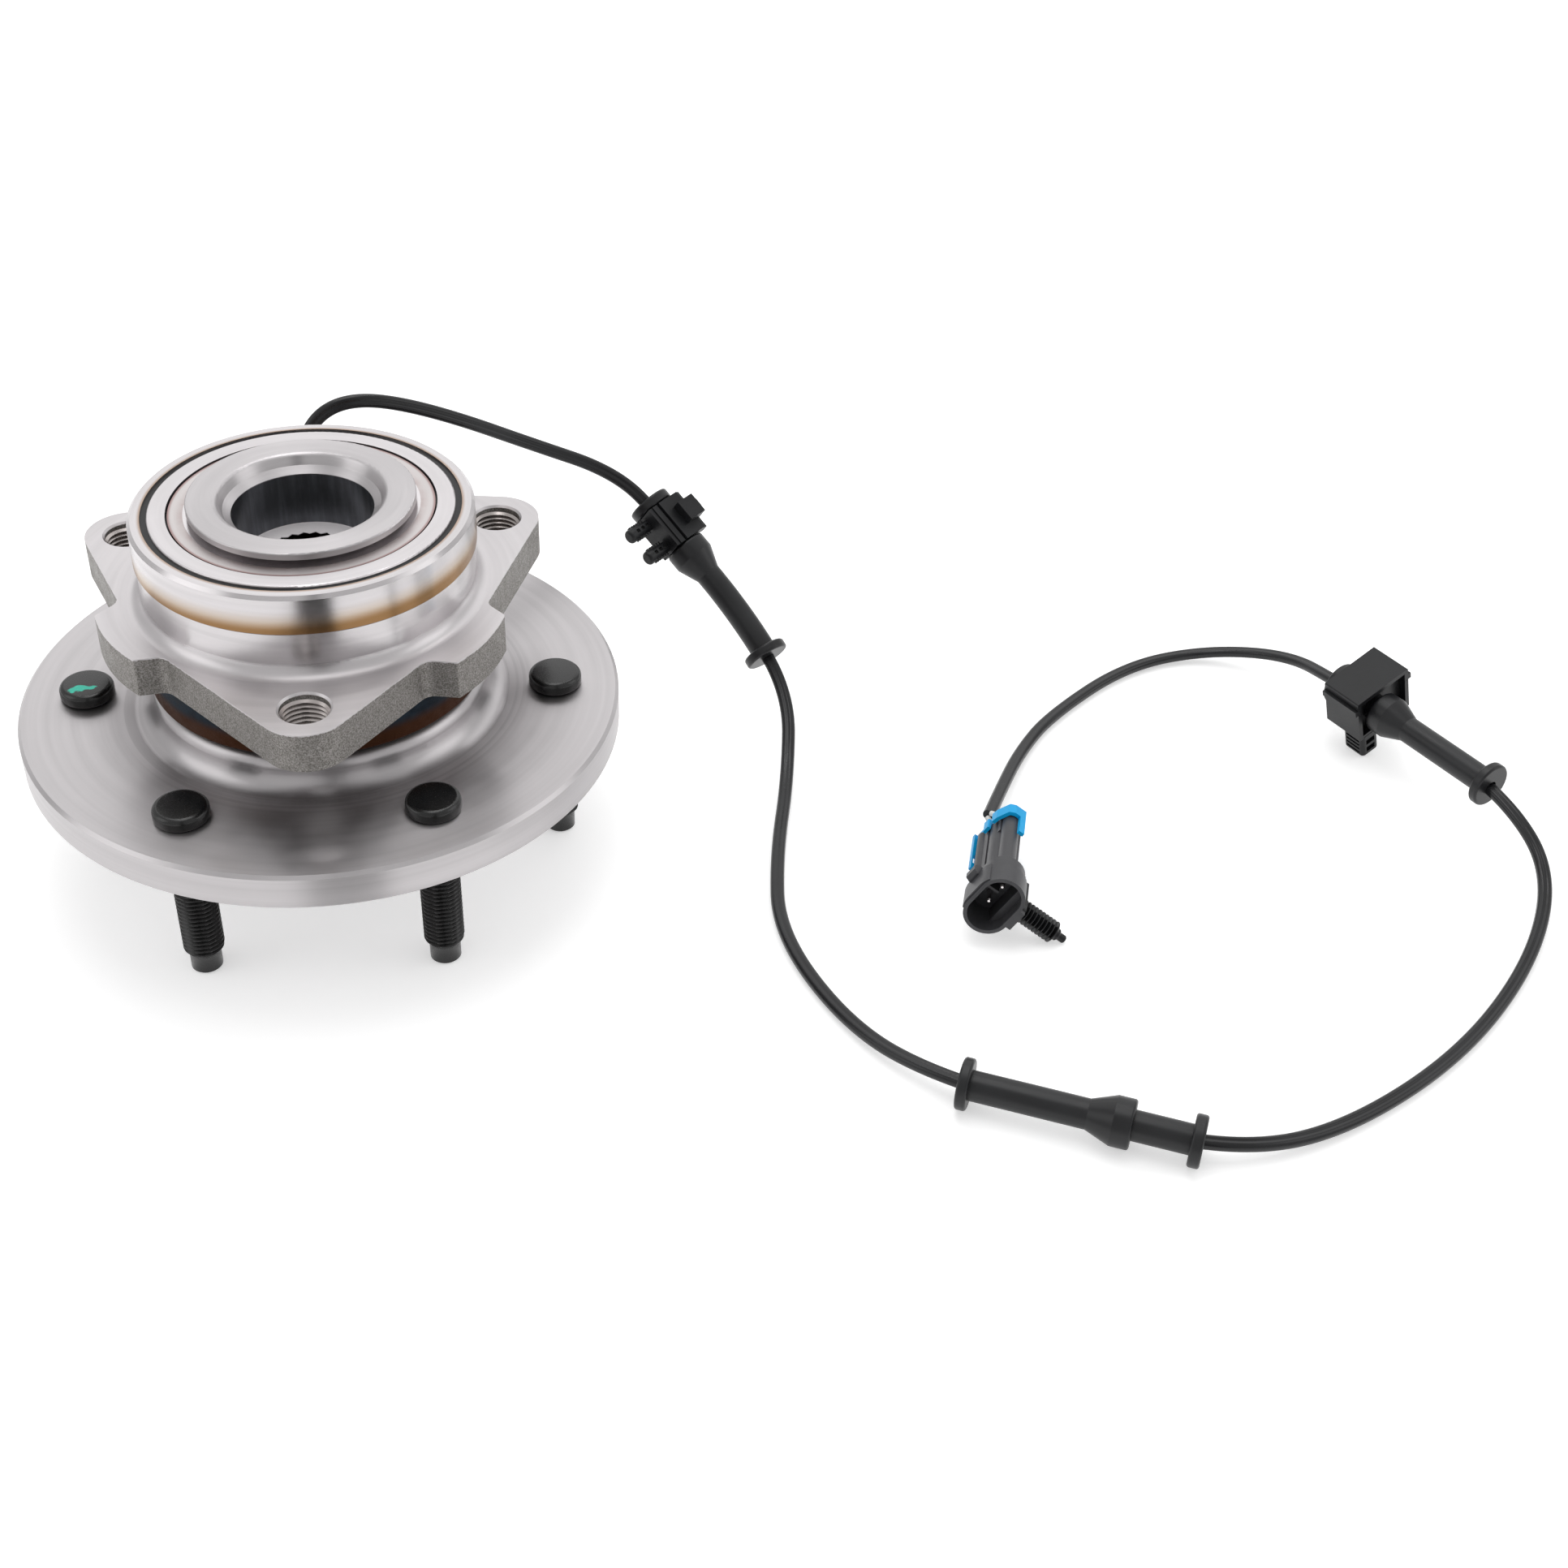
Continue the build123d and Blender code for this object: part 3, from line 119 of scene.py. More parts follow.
# ---- Colours ------------------------------------------------------------------------------------
oxide_dark = (0.115, 0.120, 0.132, 1.0)
# Painted highlight streaks on the dark oxide of the hub's bore.
pale_streak_highlight = (0.165, 0.174, 0.192, 1.0)
spline_shadow = (0.020, 0.018, 0.016, 1.0)
red_grease = (0.20, 0.055, 0.045, 1.0)
pale_heat_tint = (0.42, 0.29, 0.16, 1.0)
deep_heat_tint = (0.23, 0.115, 0.035, 1.0)
rim_tint = (0.30, 0.17, 0.08, 1.0)
scale_rust = (0.060, 0.024, 0.012, 1.0)
scale_dark = (0.012, 0.017, 0.024, 1.0)
scale_blue = (0.026, 0.038, 0.052, 1.0)
green_paint = (0.004, 0.52, 0.37, 1.0)
charcoal_dark = (0.038, 0.038, 0.042, 1.0)
charcoal_pale = (0.058, 0.058, 0.063, 1.0)
wire_seal_dark = (0.05, 0.09, 0.16, 1.0)
wire_seal_pale = (0.08, 0.12, 0.20, 1.0)

# ---- Room ---------------------------------------------------------------------------------------
room_ahead = (0.0872, -0.9962, 0.0)
room_aside = (0.9962, 0.0872, 0.0)
room_wedge = (0.03, 0.14)
room_level = 0.68
room_wedge_depth = 0.58
card_wedge = (0.13, 0.25)
card_start = (0.145, 0.165)
card_colour = (0.02, 0.02, 0.02, 1.0)
floor_size = 4.0
floor_colour = (0.80, 0.80, 0.80, 1.0)
floor_lift = 0.45

# ---- Camera -------------------------------------------------------------------------------------
camera_place = (0.04992, -0.54557, 0.39199)
camera_way = (0.1328, 0.7796, -0.612)
camera_roll = 2.461
camera_lens = 49.24
camera_sensor = 36.0


# ---- Small helpers ------------------------------------------------------------------------------
def add_object(name, mesh):
    made = bpy.data.objects.new(name, mesh)
    bpy.context.scene.collection.objects.link(made)
    return made


def smooth(mesh, angle=35.0):
    """Smooth shading that keeps edges sharper than the angle."""
    mesh.shade_smooth()
    mesh.set_sharp_from_angle(angle=math.radians(angle))


def mesh_from(name, points, faces, angle=35.0):
    mesh = bpy.data.meshes.new(name)
    mesh.from_pydata([Vector(point) * mm for point in points], [], faces)
    tidy = bmesh.new()
    tidy.from_mesh(mesh)
    bmesh.ops.remove_doubles(tidy, verts=tidy.verts, dist=1e-7)
    bmesh.ops.recalc_face_normals(tidy, faces=tidy.faces)
    tidy.to_mesh(mesh)
    tidy.free()
    smooth(mesh, angle)
    return mesh


def rounded_outline(corners, steps=5):
    """Closed outline of (a, b) or (a, b, rounding) corners, with an arc at each rounding."""
    outline = []
    count = len(corners)
    for index, corner in enumerate(corners):
        here = Vector(corner[:2])
        rounding = corner[2] if len(corner) == 3 else 0
        if not rounding:
            outline.append(here)
            continue
        before = (Vector(corners[index - 1][:2]) - here).normalized()
        after = (Vector(corners[(index + 1) % count][:2]) - here).normalized()
        half = before.angle(after) / 2
        reach = rounding / math.tan(half)
        centre = here + (before + after).normalized() * (rounding / math.sin(half))
        first = here + before * reach - centre
        sweep = (here + after * reach - centre).angle_signed(first)
        for step in range(steps + 1):
            turned = first.copy()
            turned.rotate(Matrix.Rotation(sweep * step / steps, 2))
            outline.append(centre + turned)
    return outline


# ---- Material graphs ----------------------------------------------------------------------------
class Finish:
    """A material's nodes: plain values go on the shader, patterns are linked to it."""

    def __init__(self, name, **settings):
        self.material = bpy.data.materials.new(name)
        self.material.use_nodes = True
        self.tree = self.material.node_tree
        self.shader = self.tree.nodes["Principled BSDF"]
        for socket, value in settings.items():
            self.shader.inputs[socket.replace("_", " ")].default_value = value

    def add(self, kind, sockets=None, **properties):
        made = self.tree.nodes.new(kind)
        for key, value in properties.items():
            setattr(made, key, value)
        for socket, value in (sockets or {}).items():
            self.put(made.inputs[socket], value)
        return made

    def put(self, socket, value):
        if isinstance(value, bpy.types.NodeSocket):
            self.tree.links.new(value, socket)
        else:
            socket.default_value = value

    def place(self):
        return self.add("ShaderNodeTexCoord").outputs["Object"]

    def maths(self, operation, *values):
        made = self.add("ShaderNodeMath", operation=operation)
        for socket, value in zip(made.inputs, values):
            self.put(socket, value)
        return made.outputs[0]

    def vector(self, operation, *values):
        made = self.add("ShaderNodeVectorMath", operation=operation)
        for socket, value in zip(made.inputs, values):
            self.put(socket, value)
        return made.outputs["Value" if operation in ("LENGTH", "DOT_PRODUCT") else "Vector"]

    def noise(self, vector, scale, detail=3.0, roughness=0.5):
        return self.add("ShaderNodeTexNoise", {
            "Vector": vector, "Scale": scale, "Detail": detail, "Roughness": roughness,
        }).outputs["Fac"]

    def spread(self, value, low, high, to_low=0.0, to_high=1.0):
        """Smooth change from to_low to to_high as value goes from low to high."""
        return self.add("ShaderNodeMapRange", {
            "Value": value, "From Min": low, "From Max": high,
            "To Min": to_low, "To Max": to_high,
        }, interpolation_type="SMOOTHSTEP").outputs["Result"]

    def mix(self, factor, low, high):
        made = self.add("ShaderNodeMix", data_type="RGBA")
        self.put(made.inputs["Factor"], factor)
        self.put(made.inputs[6], low)
        self.put(made.inputs[7], high)
        return made.outputs[2]

    def bump(self, height, strength, distance, after=None):
        made = self.add("ShaderNodeBump", {
            "Height": height, "Strength": strength, "Distance": distance,
        })
        if after is not None:
            self.put(made.inputs["Normal"], after)
        return made.outputs["Normal"]

    def around_axis(self):
        """Radius, height and direction from the spin axis."""
        parts = self.add("ShaderNodeSeparateXYZ", {"Vector": self.place()})
        flat = self.add("ShaderNodeCombineXYZ", {
            "X": parts.outputs["X"], "Y": parts.outputs["Y"],
        }).outputs[0]
        return self.vector("LENGTH", flat), parts.outputs["Z"], self.vector("NORMALIZE", flat)

    def lathe_marks(self, across, around=9.0):
        """Noise drawn out along the turning direction; across is the marks' frequency."""
        radius, height, way = self.around_axis()
        feed = self.maths("MULTIPLY_ADD", height, 1.37, radius)
        track = self.add("ShaderNodeCombineXYZ", {"Z": self.maths("MULTIPLY", feed, across)})
        slow = self.add("ShaderNodeVectorMath", {1: (around, around, around)}, operation="MULTIPLY")
        self.put(slow.inputs[0], way)
        return self.vector("ADD", slow.outputs[0], track.outputs[0])

    def turned_sheen(self, amount):
        """Reflections drawn out across the turning marks."""
        tangent = self.add("ShaderNodeTangent", direction_type="RADIAL", axis="Z")
        self.put(self.shader.inputs["Tangent"], tangent.outputs[0])
        self.shader.inputs["Anisotropic"].default_value = amount
        self.shader.inputs["Anisotropic Rotation"].default_value = 0.25

    def link(self, **sockets):
        for socket, value in sockets.items():
            self.put(self.shader.inputs[socket.replace("_", " ")], value)
        return self.material


def grey(level, warm=0.0):
    return (level + warm, level, level - warm, 1.0)


def steel_tone(level, warm=0.0):
    """Steel's own grey, a trace towards violet."""
    return (level * 1.025 + warm, level * 0.985, level - warm, 1.0)


# ---- Steel finishes -----------------------------------------------------------------------------
def turned_steel(name, shade, roughness, warm=0.0, sheen=0.6, groove=0.25):
    """Turned and brushed steel: fine feed marks round the axis and faint blotches."""
    steel = Finish(name, Metallic=1.0)
    colour, rough, normal = turned_pattern(steel, shade, roughness, warm, groove)
    steel.turned_sheen(sheen)
    return steel.link(Base_Color=colour, Roughness=rough, Normal=normal)


def turned_pattern(steel, shade, roughness, warm=0.0, groove=0.25):
    """Colour, roughness and normal of a turned face."""
    fine = steel.noise(steel.lathe_marks(5200.0, 1.2), 1.0, 2.0)
    broad = steel.noise(steel.lathe_marks(420.0, 0.8), 1.0, 3.0)
    cloud = steel.noise(steel.place(), 38.0, 4.0, 0.6)
    tone = steel.maths("MULTIPLY_ADD", broad, 0.6, steel.maths("MULTIPLY", cloud, 0.4))
    low = steel_tone(shade * 0.92, warm)
    high = steel_tone(shade * 1.05, warm)
    colour = steel.mix(steel.spread(tone, 0.3, 0.7), low, high)
    rough = steel.spread(cloud, 0.25, 0.75, roughness * 0.9, roughness * 1.12)
    return colour, rough, steel.bump(fine, groove, 0.00004)


def hub_steel():
    """The hub: turned faces, rings on its boss, a dark oxide bore with painted highlight streaks and a
    ledge in it painted bright as a highlight.
    """
    steel = Finish("hub_steel")
    colour, rough, normal = turned_pattern(steel, 0.50, 0.34)
    radius, height = steel.around_axis()[:2]
    rings = steel.noise(steel.lathe_marks(900.0, 0.3), 1.0, 1.0)
    boss = steel.maths("MULTIPLY", steel.spread(radius, *boss_inner_edge),
                       steel.spread(radius, *boss_outer_edge, 1.0, 0.0))
    ringed = steel.maths("MULTIPLY", boss, steel.spread(rings, 0.45, 0.62))
    colour = steel.mix(steel.maths("MULTIPLY", ringed, 0.45), colour, steel_tone(0.36))
    inside = steel.spread(radius, *bore_edge, 1.0, 0.0)
    wall = steel.maths("MULTIPLY", inside, steel.spread(height, *bore_wall_foot))
    wall = steel.maths("MULTIPLY", wall, steel.spread(height, *bore_wall_head, 1.0, 0.0))
    # The bore's wall is dark oxide; its paler vertical streaks are painted highlight streaks.
    drawn = steel.add("ShaderNodeVectorMath", {1: (1.0, 1.0, 0.12)}, operation="MULTIPLY")
    steel.put(drawn.inputs[0], steel.place())
    painted_streak = steel.noise(drawn.outputs[0], 420.0, 3.0, 0.6)
    oxide_and_streak_highlights = steel.mix(steel.spread(painted_streak, 0.35, 0.7), oxide_dark, pale_streak_highlight)
    colour = steel.mix(wall, colour, oxide_and_streak_highlights)
    deep = steel.maths("MULTIPLY", steel.spread(radius, *spline_edge, 1.0, 0.0),
                       steel.spread(height, *spline_head, 1.0, 0.0))
    colour = steel.mix(deep, colour, spline_shadow)
    # Painted highlight: the ledge in the bore is coloured near white and made less metallic so that it
    # reads bright.
    ledge_highlight = steel.maths("MULTIPLY", inside, steel.spread(height, *ledge_foot))
    ledge_highlight = steel.maths("MULTIPLY", ledge_highlight, steel.spread(height, *ledge_head, 1.0, 0.0))
    metal = steel.maths("SUBTRACT", 1.0, ledge_highlight)
    colour = steel.mix(ledge_highlight, colour, steel_tone(0.86))
    steel.turned_sheen(0.75)
    return steel.link(Base_Color=colour, Roughness=rough, Normal=normal, Metallic=metal)


def slinger_steel():
    """Seal slinger with a trace of red grease near its inner and outer edges."""
    steel = Finish("slinger_steel", Metallic=1.0)
    colour, rough, normal = turned_pattern(steel, 0.54, 0.33, 0.012, 0.05)
    radius = steel.around_axis()[0]
    specks = steel.noise(steel.place(), 160.0, 2.0, 0.5)
    inner = steel.maths("MULTIPLY", steel.spread(radius, *grease_edge, 1.0, 0.0),
                        steel.spread(specks, 0.30, 0.70, 0.15, 0.45))
    outer = steel.spread(radius, *slinger_gap_edge)
    stain = steel.maths("MAXIMUM", inner, outer)
    colour = steel.mix(steel.maths("MULTIPLY", stain, 0.65), colour, red_grease)
    steel.turned_sheen(0.4)
    return steel.link(Base_Color=colour, Roughness=rough, Normal=normal)


def ring_steel():
    """The outer ring: turned bands with a heat tint, scaled below the flange, cast at its sides."""
    steel = Finish("outer_ring_steel", Metallic=1.0)
    bright, rough, marks = turned_pattern(steel, 0.58, 0.25)
    radius, height, way = steel.around_axis()
    place = steel.place()
    grain = steel.noise(place, 2300.0, 5.0, 0.7)
    lumps = steel.noise(place, 260.0, 3.0, 0.55)

    # A heat tint runs along the lower edge of the top band, wider towards the front right.
    across = steel.add("ShaderNodeSeparateXYZ", {"Vector": way}).outputs["X"]
    wander = steel.maths("MULTIPLY_ADD", steel.noise(place, 14.0, 2.0), 0.0030, height)
    level = steel.maths("MULTIPLY_ADD", across, -0.0013, wander)
    above = steel.spread(height, *tint_foot)
    soft = steel.maths("MULTIPLY", above, steel.spread(level, *pale_tint_head, 1.0, 0.0))
    strong = steel.maths("MULTIPLY", above, steel.spread(level, *deep_tint_head, 1.0, 0.0))
    tinted = steel.mix(steel.maths("MULTIPLY", soft, 0.75), bright, pale_heat_tint)
    tinted = steel.mix(steel.maths("MULTIPLY", strong, 0.85), tinted, deep_heat_tint)
    edge = steel.maths("MULTIPLY", steel.spread(radius, *rim_edge, 1.0, 0.0),
                       steel.spread(height, *rim_foot))
    tinted = steel.mix(steel.maths("MULTIPLY", edge, 0.7), tinted, rim_tint)

    # Below the flange the forging keeps its blue black scale, rusty at the lower edge.
    scale = steel.mix(steel.spread(height, *rust_head), scale_rust,
                      steel.mix(steel.spread(lumps, 0.35, 0.65), scale_dark, scale_blue))
    scaled = steel.maths("MULTIPLY", steel.spread(height, *scale_head, 1.0, 0.0),
                         steel.spread(radius, *scale_edge))
    body = steel.mix(scaled, tinted, scale)

    # The knuckle flange is cast at its sides, with a bright burr along its top edge.
    facing = steel.add("ShaderNodeSeparateXYZ", {
        "Vector": steel.add("ShaderNodeNewGeometry").outputs["True Normal"],
    })
    upright = steel.maths("ABSOLUTE", facing.outputs["Z"])
    side = steel.maths("MULTIPLY", steel.spread(upright, 0.55, 0.75, 1.0, 0.0),
                       steel.spread(radius, *cast_edge))
    cast = steel.mix(steel.spread(grain, 0.34, 0.68), grey(0.13, 0.010), grey(0.38, 0.016))
    ragged = steel.maths("MULTIPLY_ADD", steel.noise(place, 900.0, 3.0, 0.6), 0.0010, height)
    burr = steel.spread(ragged, *burr_foot)
    cast = steel.mix(burr, cast, steel_tone(0.60))
    colour = steel.mix(side, body, cast)
    rest = steel.maths("MAXIMUM", side, scaled)
    lower = steel.spread(height, *waist_finish_head, 1.0, 0.0)
    rough = steel.maths("MULTIPLY_ADD", lower, 0.13, rough)
    rough = steel.mix(rest, rough, steel.spread(lumps, 0.3, 0.7, 0.42, 0.58))
    coarse = steel.maths("MULTIPLY", steel.maths("ADD", grain, lumps), rest)
    steel.turned_sheen(0.7)
    return steel.link(Base_Color=colour, Roughness=rough, Normal=steel.bump(coarse, 0.6, 0.0003, marks))


def phosphate():
    """Oiled black phosphate on the studs, with one dab of inspector's paint."""
    coat = Finish("stud_phosphate", Specular_IOR_Level=0.5)
    place = coat.place()
    grain = coat.noise(place, 2400.0, 3.0, 0.6)
    cloud = coat.noise(place, 120.0, 3.0)
    colour = coat.mix(coat.spread(cloud, 0.3, 0.7), grey(0.004), grey(0.009))
    rough = coat.spread(grain, 0.3, 0.7, 0.20, 0.28)
    offset = coat.vector("SUBTRACT", place, tuple(Vector(paint_place) * mm))
    away = coat.vector("LENGTH", coat.vector("MULTIPLY", offset, (0.45, 0.9, 1.0)))
    ragged = coat.maths("MULTIPLY_ADD", coat.noise(place, 210.0, 2.0, 0.5), 0.0040, away)
    paint = coat.spread(ragged, 0.0032, 0.0035, 1.0, 0.0)
    colour = coat.mix(paint, colour, green_paint)
    return coat.link(Base_Color=colour, Roughness=rough, Normal=coat.bump(grain, 0.12, 0.00006))


# ---- Plastics and rubbers -----------------------------------------------------------------------
def moulded(name, low, high, roughness, grain_scale=900.0, grain_depth=0.00005, **settings):
    """Moulded plastic or rubber with a fine grain and a faint change of tone."""
    resin = Finish(name, **settings)
    place = resin.place()
    grain = resin.noise(place, grain_scale, 3.0, 0.6)
    cloud = resin.noise(place, 60.0, 3.0)
    colour = resin.mix(resin.spread(cloud, 0.3, 0.7), low, high)
    rough = resin.spread(cloud, 0.3, 0.7, roughness * 0.88, roughness * 1.12)
    return resin.link(Base_Color=colour, Roughness=rough, Normal=resin.bump(grain, 0.35, grain_depth))


def connector_plastic():
    """Charcoal connector body with a textured skin."""
    resin = Finish("connector_plastic", Specular_IOR_Level=0.4)
    place = resin.place()
    grain = resin.noise(place, 1500.0, 3.0, 0.65)
    cloud = resin.noise(place, 90.0, 3.0)
    skin = resin.mix(resin.spread(cloud, 0.3, 0.7), charcoal_dark, charcoal_pale)
    rough = resin.spread(cloud, 0.3, 0.7, 0.34, 0.44)
    return resin.link(Base_Color=skin, Roughness=rough, Normal=resin.bump(grain, 0.4, 0.00006))


def make_finishes():
    black = (0.006, 0.006, 0.007, 1.0)
    soft_black = (0.011, 0.0115, 0.013, 1.0)
    return {
        "hub": hub_steel(),
        "ring": ring_steel(),
        "seal": turned_steel("seal_steel", 0.60, 0.34, sheen=0.4, groove=0.04),
        "slinger": slinger_steel(),
        "bearing": turned_steel("bearing_steel", 0.66, 0.16, groove=0.08),
        "tone": turned_steel("tone_ring_steel", 0.25, 0.5),
        "stud": phosphate(),
        "screw": turned_steel("screw_zinc", 0.6, 0.3),
        "thread": turned_steel("knuckle_thread_steel", 0.42, 0.26, warm=0.02, sheen=0.2, groove=0.05),
        "cable": moulded("cable_jacket", black, soft_black, 0.26, 700.0, 0.00002,
                         Specular_IOR_Level=0.40),
        "grommet": moulded("grommet_rubber", black, soft_black, 0.36, 1200.0, 0.00004,
                           Specular_IOR_Level=0.40),
        "clip": moulded("clip_plastic", black, soft_black, 0.40, 1400.0, 0.00006,
                        Specular_IOR_Level=0.32),
        "sensor": moulded("sensor_plastic", black, soft_black, 0.42, Specular_IOR_Level=0.3),
        "connector": connector_plastic(),
        "lock": moulded("lock_plastic", (0.001, 0.32, 0.66, 1.0), (0.003, 0.38, 0.76, 1.0), 0.34,
                        1300.0, 0.00004, Specular_IOR_Level=0.25),
        "wire_seal": moulded("wire_seal_silicone", wire_seal_dark, wire_seal_pale, 0.45),
        "wire": moulded("wire_sleeve", (0.66, 0.65, 0.62, 1.0), (0.78, 0.77, 0.74, 1.0), 0.4),
        "seal_rubber": moulded("seal_rubber", (0.004, 0.004, 0.005, 1.0), black, 0.4,
                               Specular_IOR_Level=0.3),
        "cage": moulded("cage_plastic", (0.05, 0.045, 0.04, 1.0), (0.08, 0.07, 0.06, 1.0), 0.5),
        "terminal": turned_steel("terminal_tin", 0.78, 0.2, warm=0.01),
    }


node_finishes = {
    "outer_ring": "ring", "wheel_hub": "hub", "wheel_studs": "stud",
    "inner_ring_inboard": "bearing", "inner_ring_outboard": "bearing",
    "rollers_inboard": "bearing", "rollers_outboard": "bearing",
    "cage_inboard": "cage", "cage_outboard": "cage",
    "seal_case_inboard": "seal", "seal_case_outboard": "seal",
    "seal_rubber_inboard": "seal_rubber", "seal_rubber_outboard": "seal_rubber",
    "slinger_inboard": "slinger", "slinger_outboard": "slinger", "tone_ring": "tone",
    "sensor_body": "sensor", "sensor_o_ring": "seal_rubber", "sensor_screw": "screw",
    "grommet_1": "grommet", "grommet_2": "grommet", "grommet_3": "grommet",
    "clip_twin_pin": "clip", "clip_box": "clip", "clip_box_lid": "clip",
    "connector_shell": "connector", "connector_seal": "wire_seal",
    "connector_terminals": "terminal", "connector_lock": "lock", "connector_clip": "clip",
    "signal_wires": "wire", "cable": "cable",
}


def dress_nodes(finishes):
    for node, finish in node_finishes.items():
        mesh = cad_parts[node].data
        mesh.materials.clear()
        mesh.materials.append(finishes[finish])


# ---- Studs and threads --------------------------------------------------------------------------
class Tree:
    """A Geometry Nodes tree: named inputs, nodes, and the modifier that runs it once."""

    def __init__(self, name, inputs):
        self.tree = bpy.data.node_groups.new(name, "GeometryNodeTree")
        self.sockets = {}
        self.tree.interface.new_socket("Geometry", in_out="INPUT", socket_type="NodeSocketGeometry")
        for label, kind in inputs:
            made = self.tree.interface.new_socket(label, in_out="INPUT", socket_type=kind)
            self.sockets[label] = made.identifier
        self.tree.interface.new_socket("Geometry", in_out="OUTPUT", socket_type="NodeSocketGeometry")
        self.start = self.tree.nodes.new("NodeGroupInput")
        self.end = self.tree.nodes.new("NodeGroupOutput")

    def add(self, kind, sockets=None, **properties):
        made = self.tree.nodes.new(kind)
        for key, value in properties.items():
            setattr(made, key, value)
        for socket, value in (sockets or {}).items():
            if isinstance(value, bpy.types.NodeSocket):
                self.tree.links.new(value, made.inputs[socket])
            else:
                made.inputs[socket].default_value = value
        return made

    def run(self, piece, **values):
        """Plain mesh object that the tree makes of a piece, which is removed."""
        modifier = piece.modifiers.new(self.tree.name, "NODES")
        modifier.node_group = self.tree
        for label, value in values.items():
            modifier[self.sockets[label.replace("_", " ")]] = value
        evaluated = piece.evaluated_get(bpy.context.evaluated_depsgraph_get())
        mesh = bpy.data.meshes.new_from_object(evaluated)
        name = piece.name
        piece.modifiers.remove(modifier)
        bpy.data.objects.remove(piece)
        return add_object(name + "_set", mesh)


def circle_of_pieces():
    """Tree that sets copies of a piece round a circle about the spin axis."""
    tree = Tree("circle_of_pieces", [
        ("Count", "NodeSocketInt"), ("Radius", "NodeSocketFloat"),
        ("Turn", "NodeSocketFloat"), ("Finish", "NodeSocketMaterial"),
    ])
    source = tree.start.outputs
    circle = tree.add("GeometryNodeMeshCircle", {
        "Vertices": source["Count"], "Radius": source["Radius"],
    })
    turn = tree.add("ShaderNodeCombineXYZ", {"Z": source["Turn"]})
    turned = tree.add("GeometryNodeTransform", {
        "Geometry": circle.outputs[0], "Rotation": turn.outputs[0],
    })
    copies = tree.add("GeometryNodeInstanceOnPoints", {
        "Points": turned.outputs[0], "Instance": source["Geometry"],
    })
    real = tree.add("GeometryNodeRealizeInstances", {"Geometry": copies.outputs[0]})
    dressed = tree.add("GeometryNodeSetMaterial", {
        "Geometry": real.outputs[0], "Material": source["Finish"],
    })
    tree.tree.links.new(dressed.outputs[0], tree.end.inputs[0])
    return tree


def thread_height(turns):
    """Height of a 60 degree thread from 0, root, to 1, crest, at a number of turns along it."""
    along = turns % 1.0
    slope = 1.0 - abs(2.0 * along - 1.0)
    return min(1.0, max(0.0, slope * 1.3 - 0.12))


def stud_mesh(segments=48, rows_per_pitch=8):
    """One wheel stud at the origin: dog point, M12 x 1.5 thread, knurl seat and rounded head."""
    thread_start = stud_tip + stud_dog_length
    lead = stud_radius - stud_dog_radius
    head_top = wheel_flange_thick + stud_head_height
    rings = [(0.0, stud_tip), (stud_dog_radius - stud_dog_chamfer, stud_tip),
             (stud_dog_radius, stud_tip + stud_dog_chamfer), (stud_dog_radius, thread_start)]
    rows = int((stud_thread_top - thread_start) / stud_pitch * rows_per_pitch)
    threaded = []
    for row in range(rows + 1):
        threaded.append((None, thread_start + row * stud_pitch / rows_per_pitch))
    head = rounded_outline([
        (stud_head_radius, wheel_flange_thick, stud_head_foot),
        (stud_head_radius, head_top, stud_head_rounding),
        (0.0, head_top), (0.0, wheel_flange_thick),
    ], 6)[:-2]
    rings += threaded
    rings += [(stud_radius, stud_thread_top + 0.3), (stud_radius, 0.0), (stud_knurl_radius, 0.0),
              (stud_knurl_radius, wheel_flange_thick)]
    rings += [(point.x, point.y) for point in head] + [(0.0, head_top)]
    points = []
    for radius, height in rings:
        for segment in range(segments):
            share = segment / segments
            reach = radius
            if radius is None:
                crest = min(stud_radius, stud_dog_radius + (height - thread_start) / lead)
                depth = max(0.0, crest - stud_root_radius)
                fade = min(1.0, (stud_thread_top - height) / (stud_pitch / 2))
                ridge = 1.0 - fade * (1.0 - thread_height(height / stud_pitch + share))
                reach = crest - depth * (1.0 - ridge)
            turn = 2 * math.pi * share
            points.append((reach * math.cos(turn), reach * math.sin(turn), height))
    faces = []
    for ring in range(len(rings) - 1):
        for segment in range(segments):
            nearby = (segment + 1) % segments
            low = ring * segments
            high = low + segments
            faces.append((low + segment, low + nearby, high + nearby, high + segment))
    return mesh_from("wheel_stud", points, faces, 40.0)


def thread_ridge_mesh(steps=48):
    """Helical ridge of one knuckle hole's M14 x 1.5 thread, set into the hole's wall."""
    low = flange_bottom + knuckle_thread_chamfer
    high = flange_top - knuckle_thread_chamfer
    half = knuckle_thread_pitch * 0.46
    turns = (high - low - 2 * half) / knuckle_thread_pitch
    count = int(turns * steps)
    root = knuckle_hole_radius + knuckle_thread_embed
    points = []
    for step in range(count + 1):
        turn = 2 * math.pi * step / steps
        height = low + half + knuckle_thread_pitch * step / steps
        ease = min(1.0, step / 12, (count - step) / 12)
        crest = root - max(0.05, ease) * (root - knuckle_thread_crest)
        corners = ((root, -half), (crest, -0.07), (crest, 0.07), (root, half))
        points += [(r * math.cos(turn), r * math.sin(turn), height + rise) for r, rise in corners]
    faces = [(0, 1, 2, 3), tuple(len(points) - 1 - index for index in range(4))]
    for step in range(count):
        for index in range(4):
            nearby = (index + 1) % 4
            here = step * 4
            faces.append((here + index, here + nearby, here + 4 + nearby, here + 4 + index))
    return mesh_from("knuckle_thread", points, faces, 40.0)


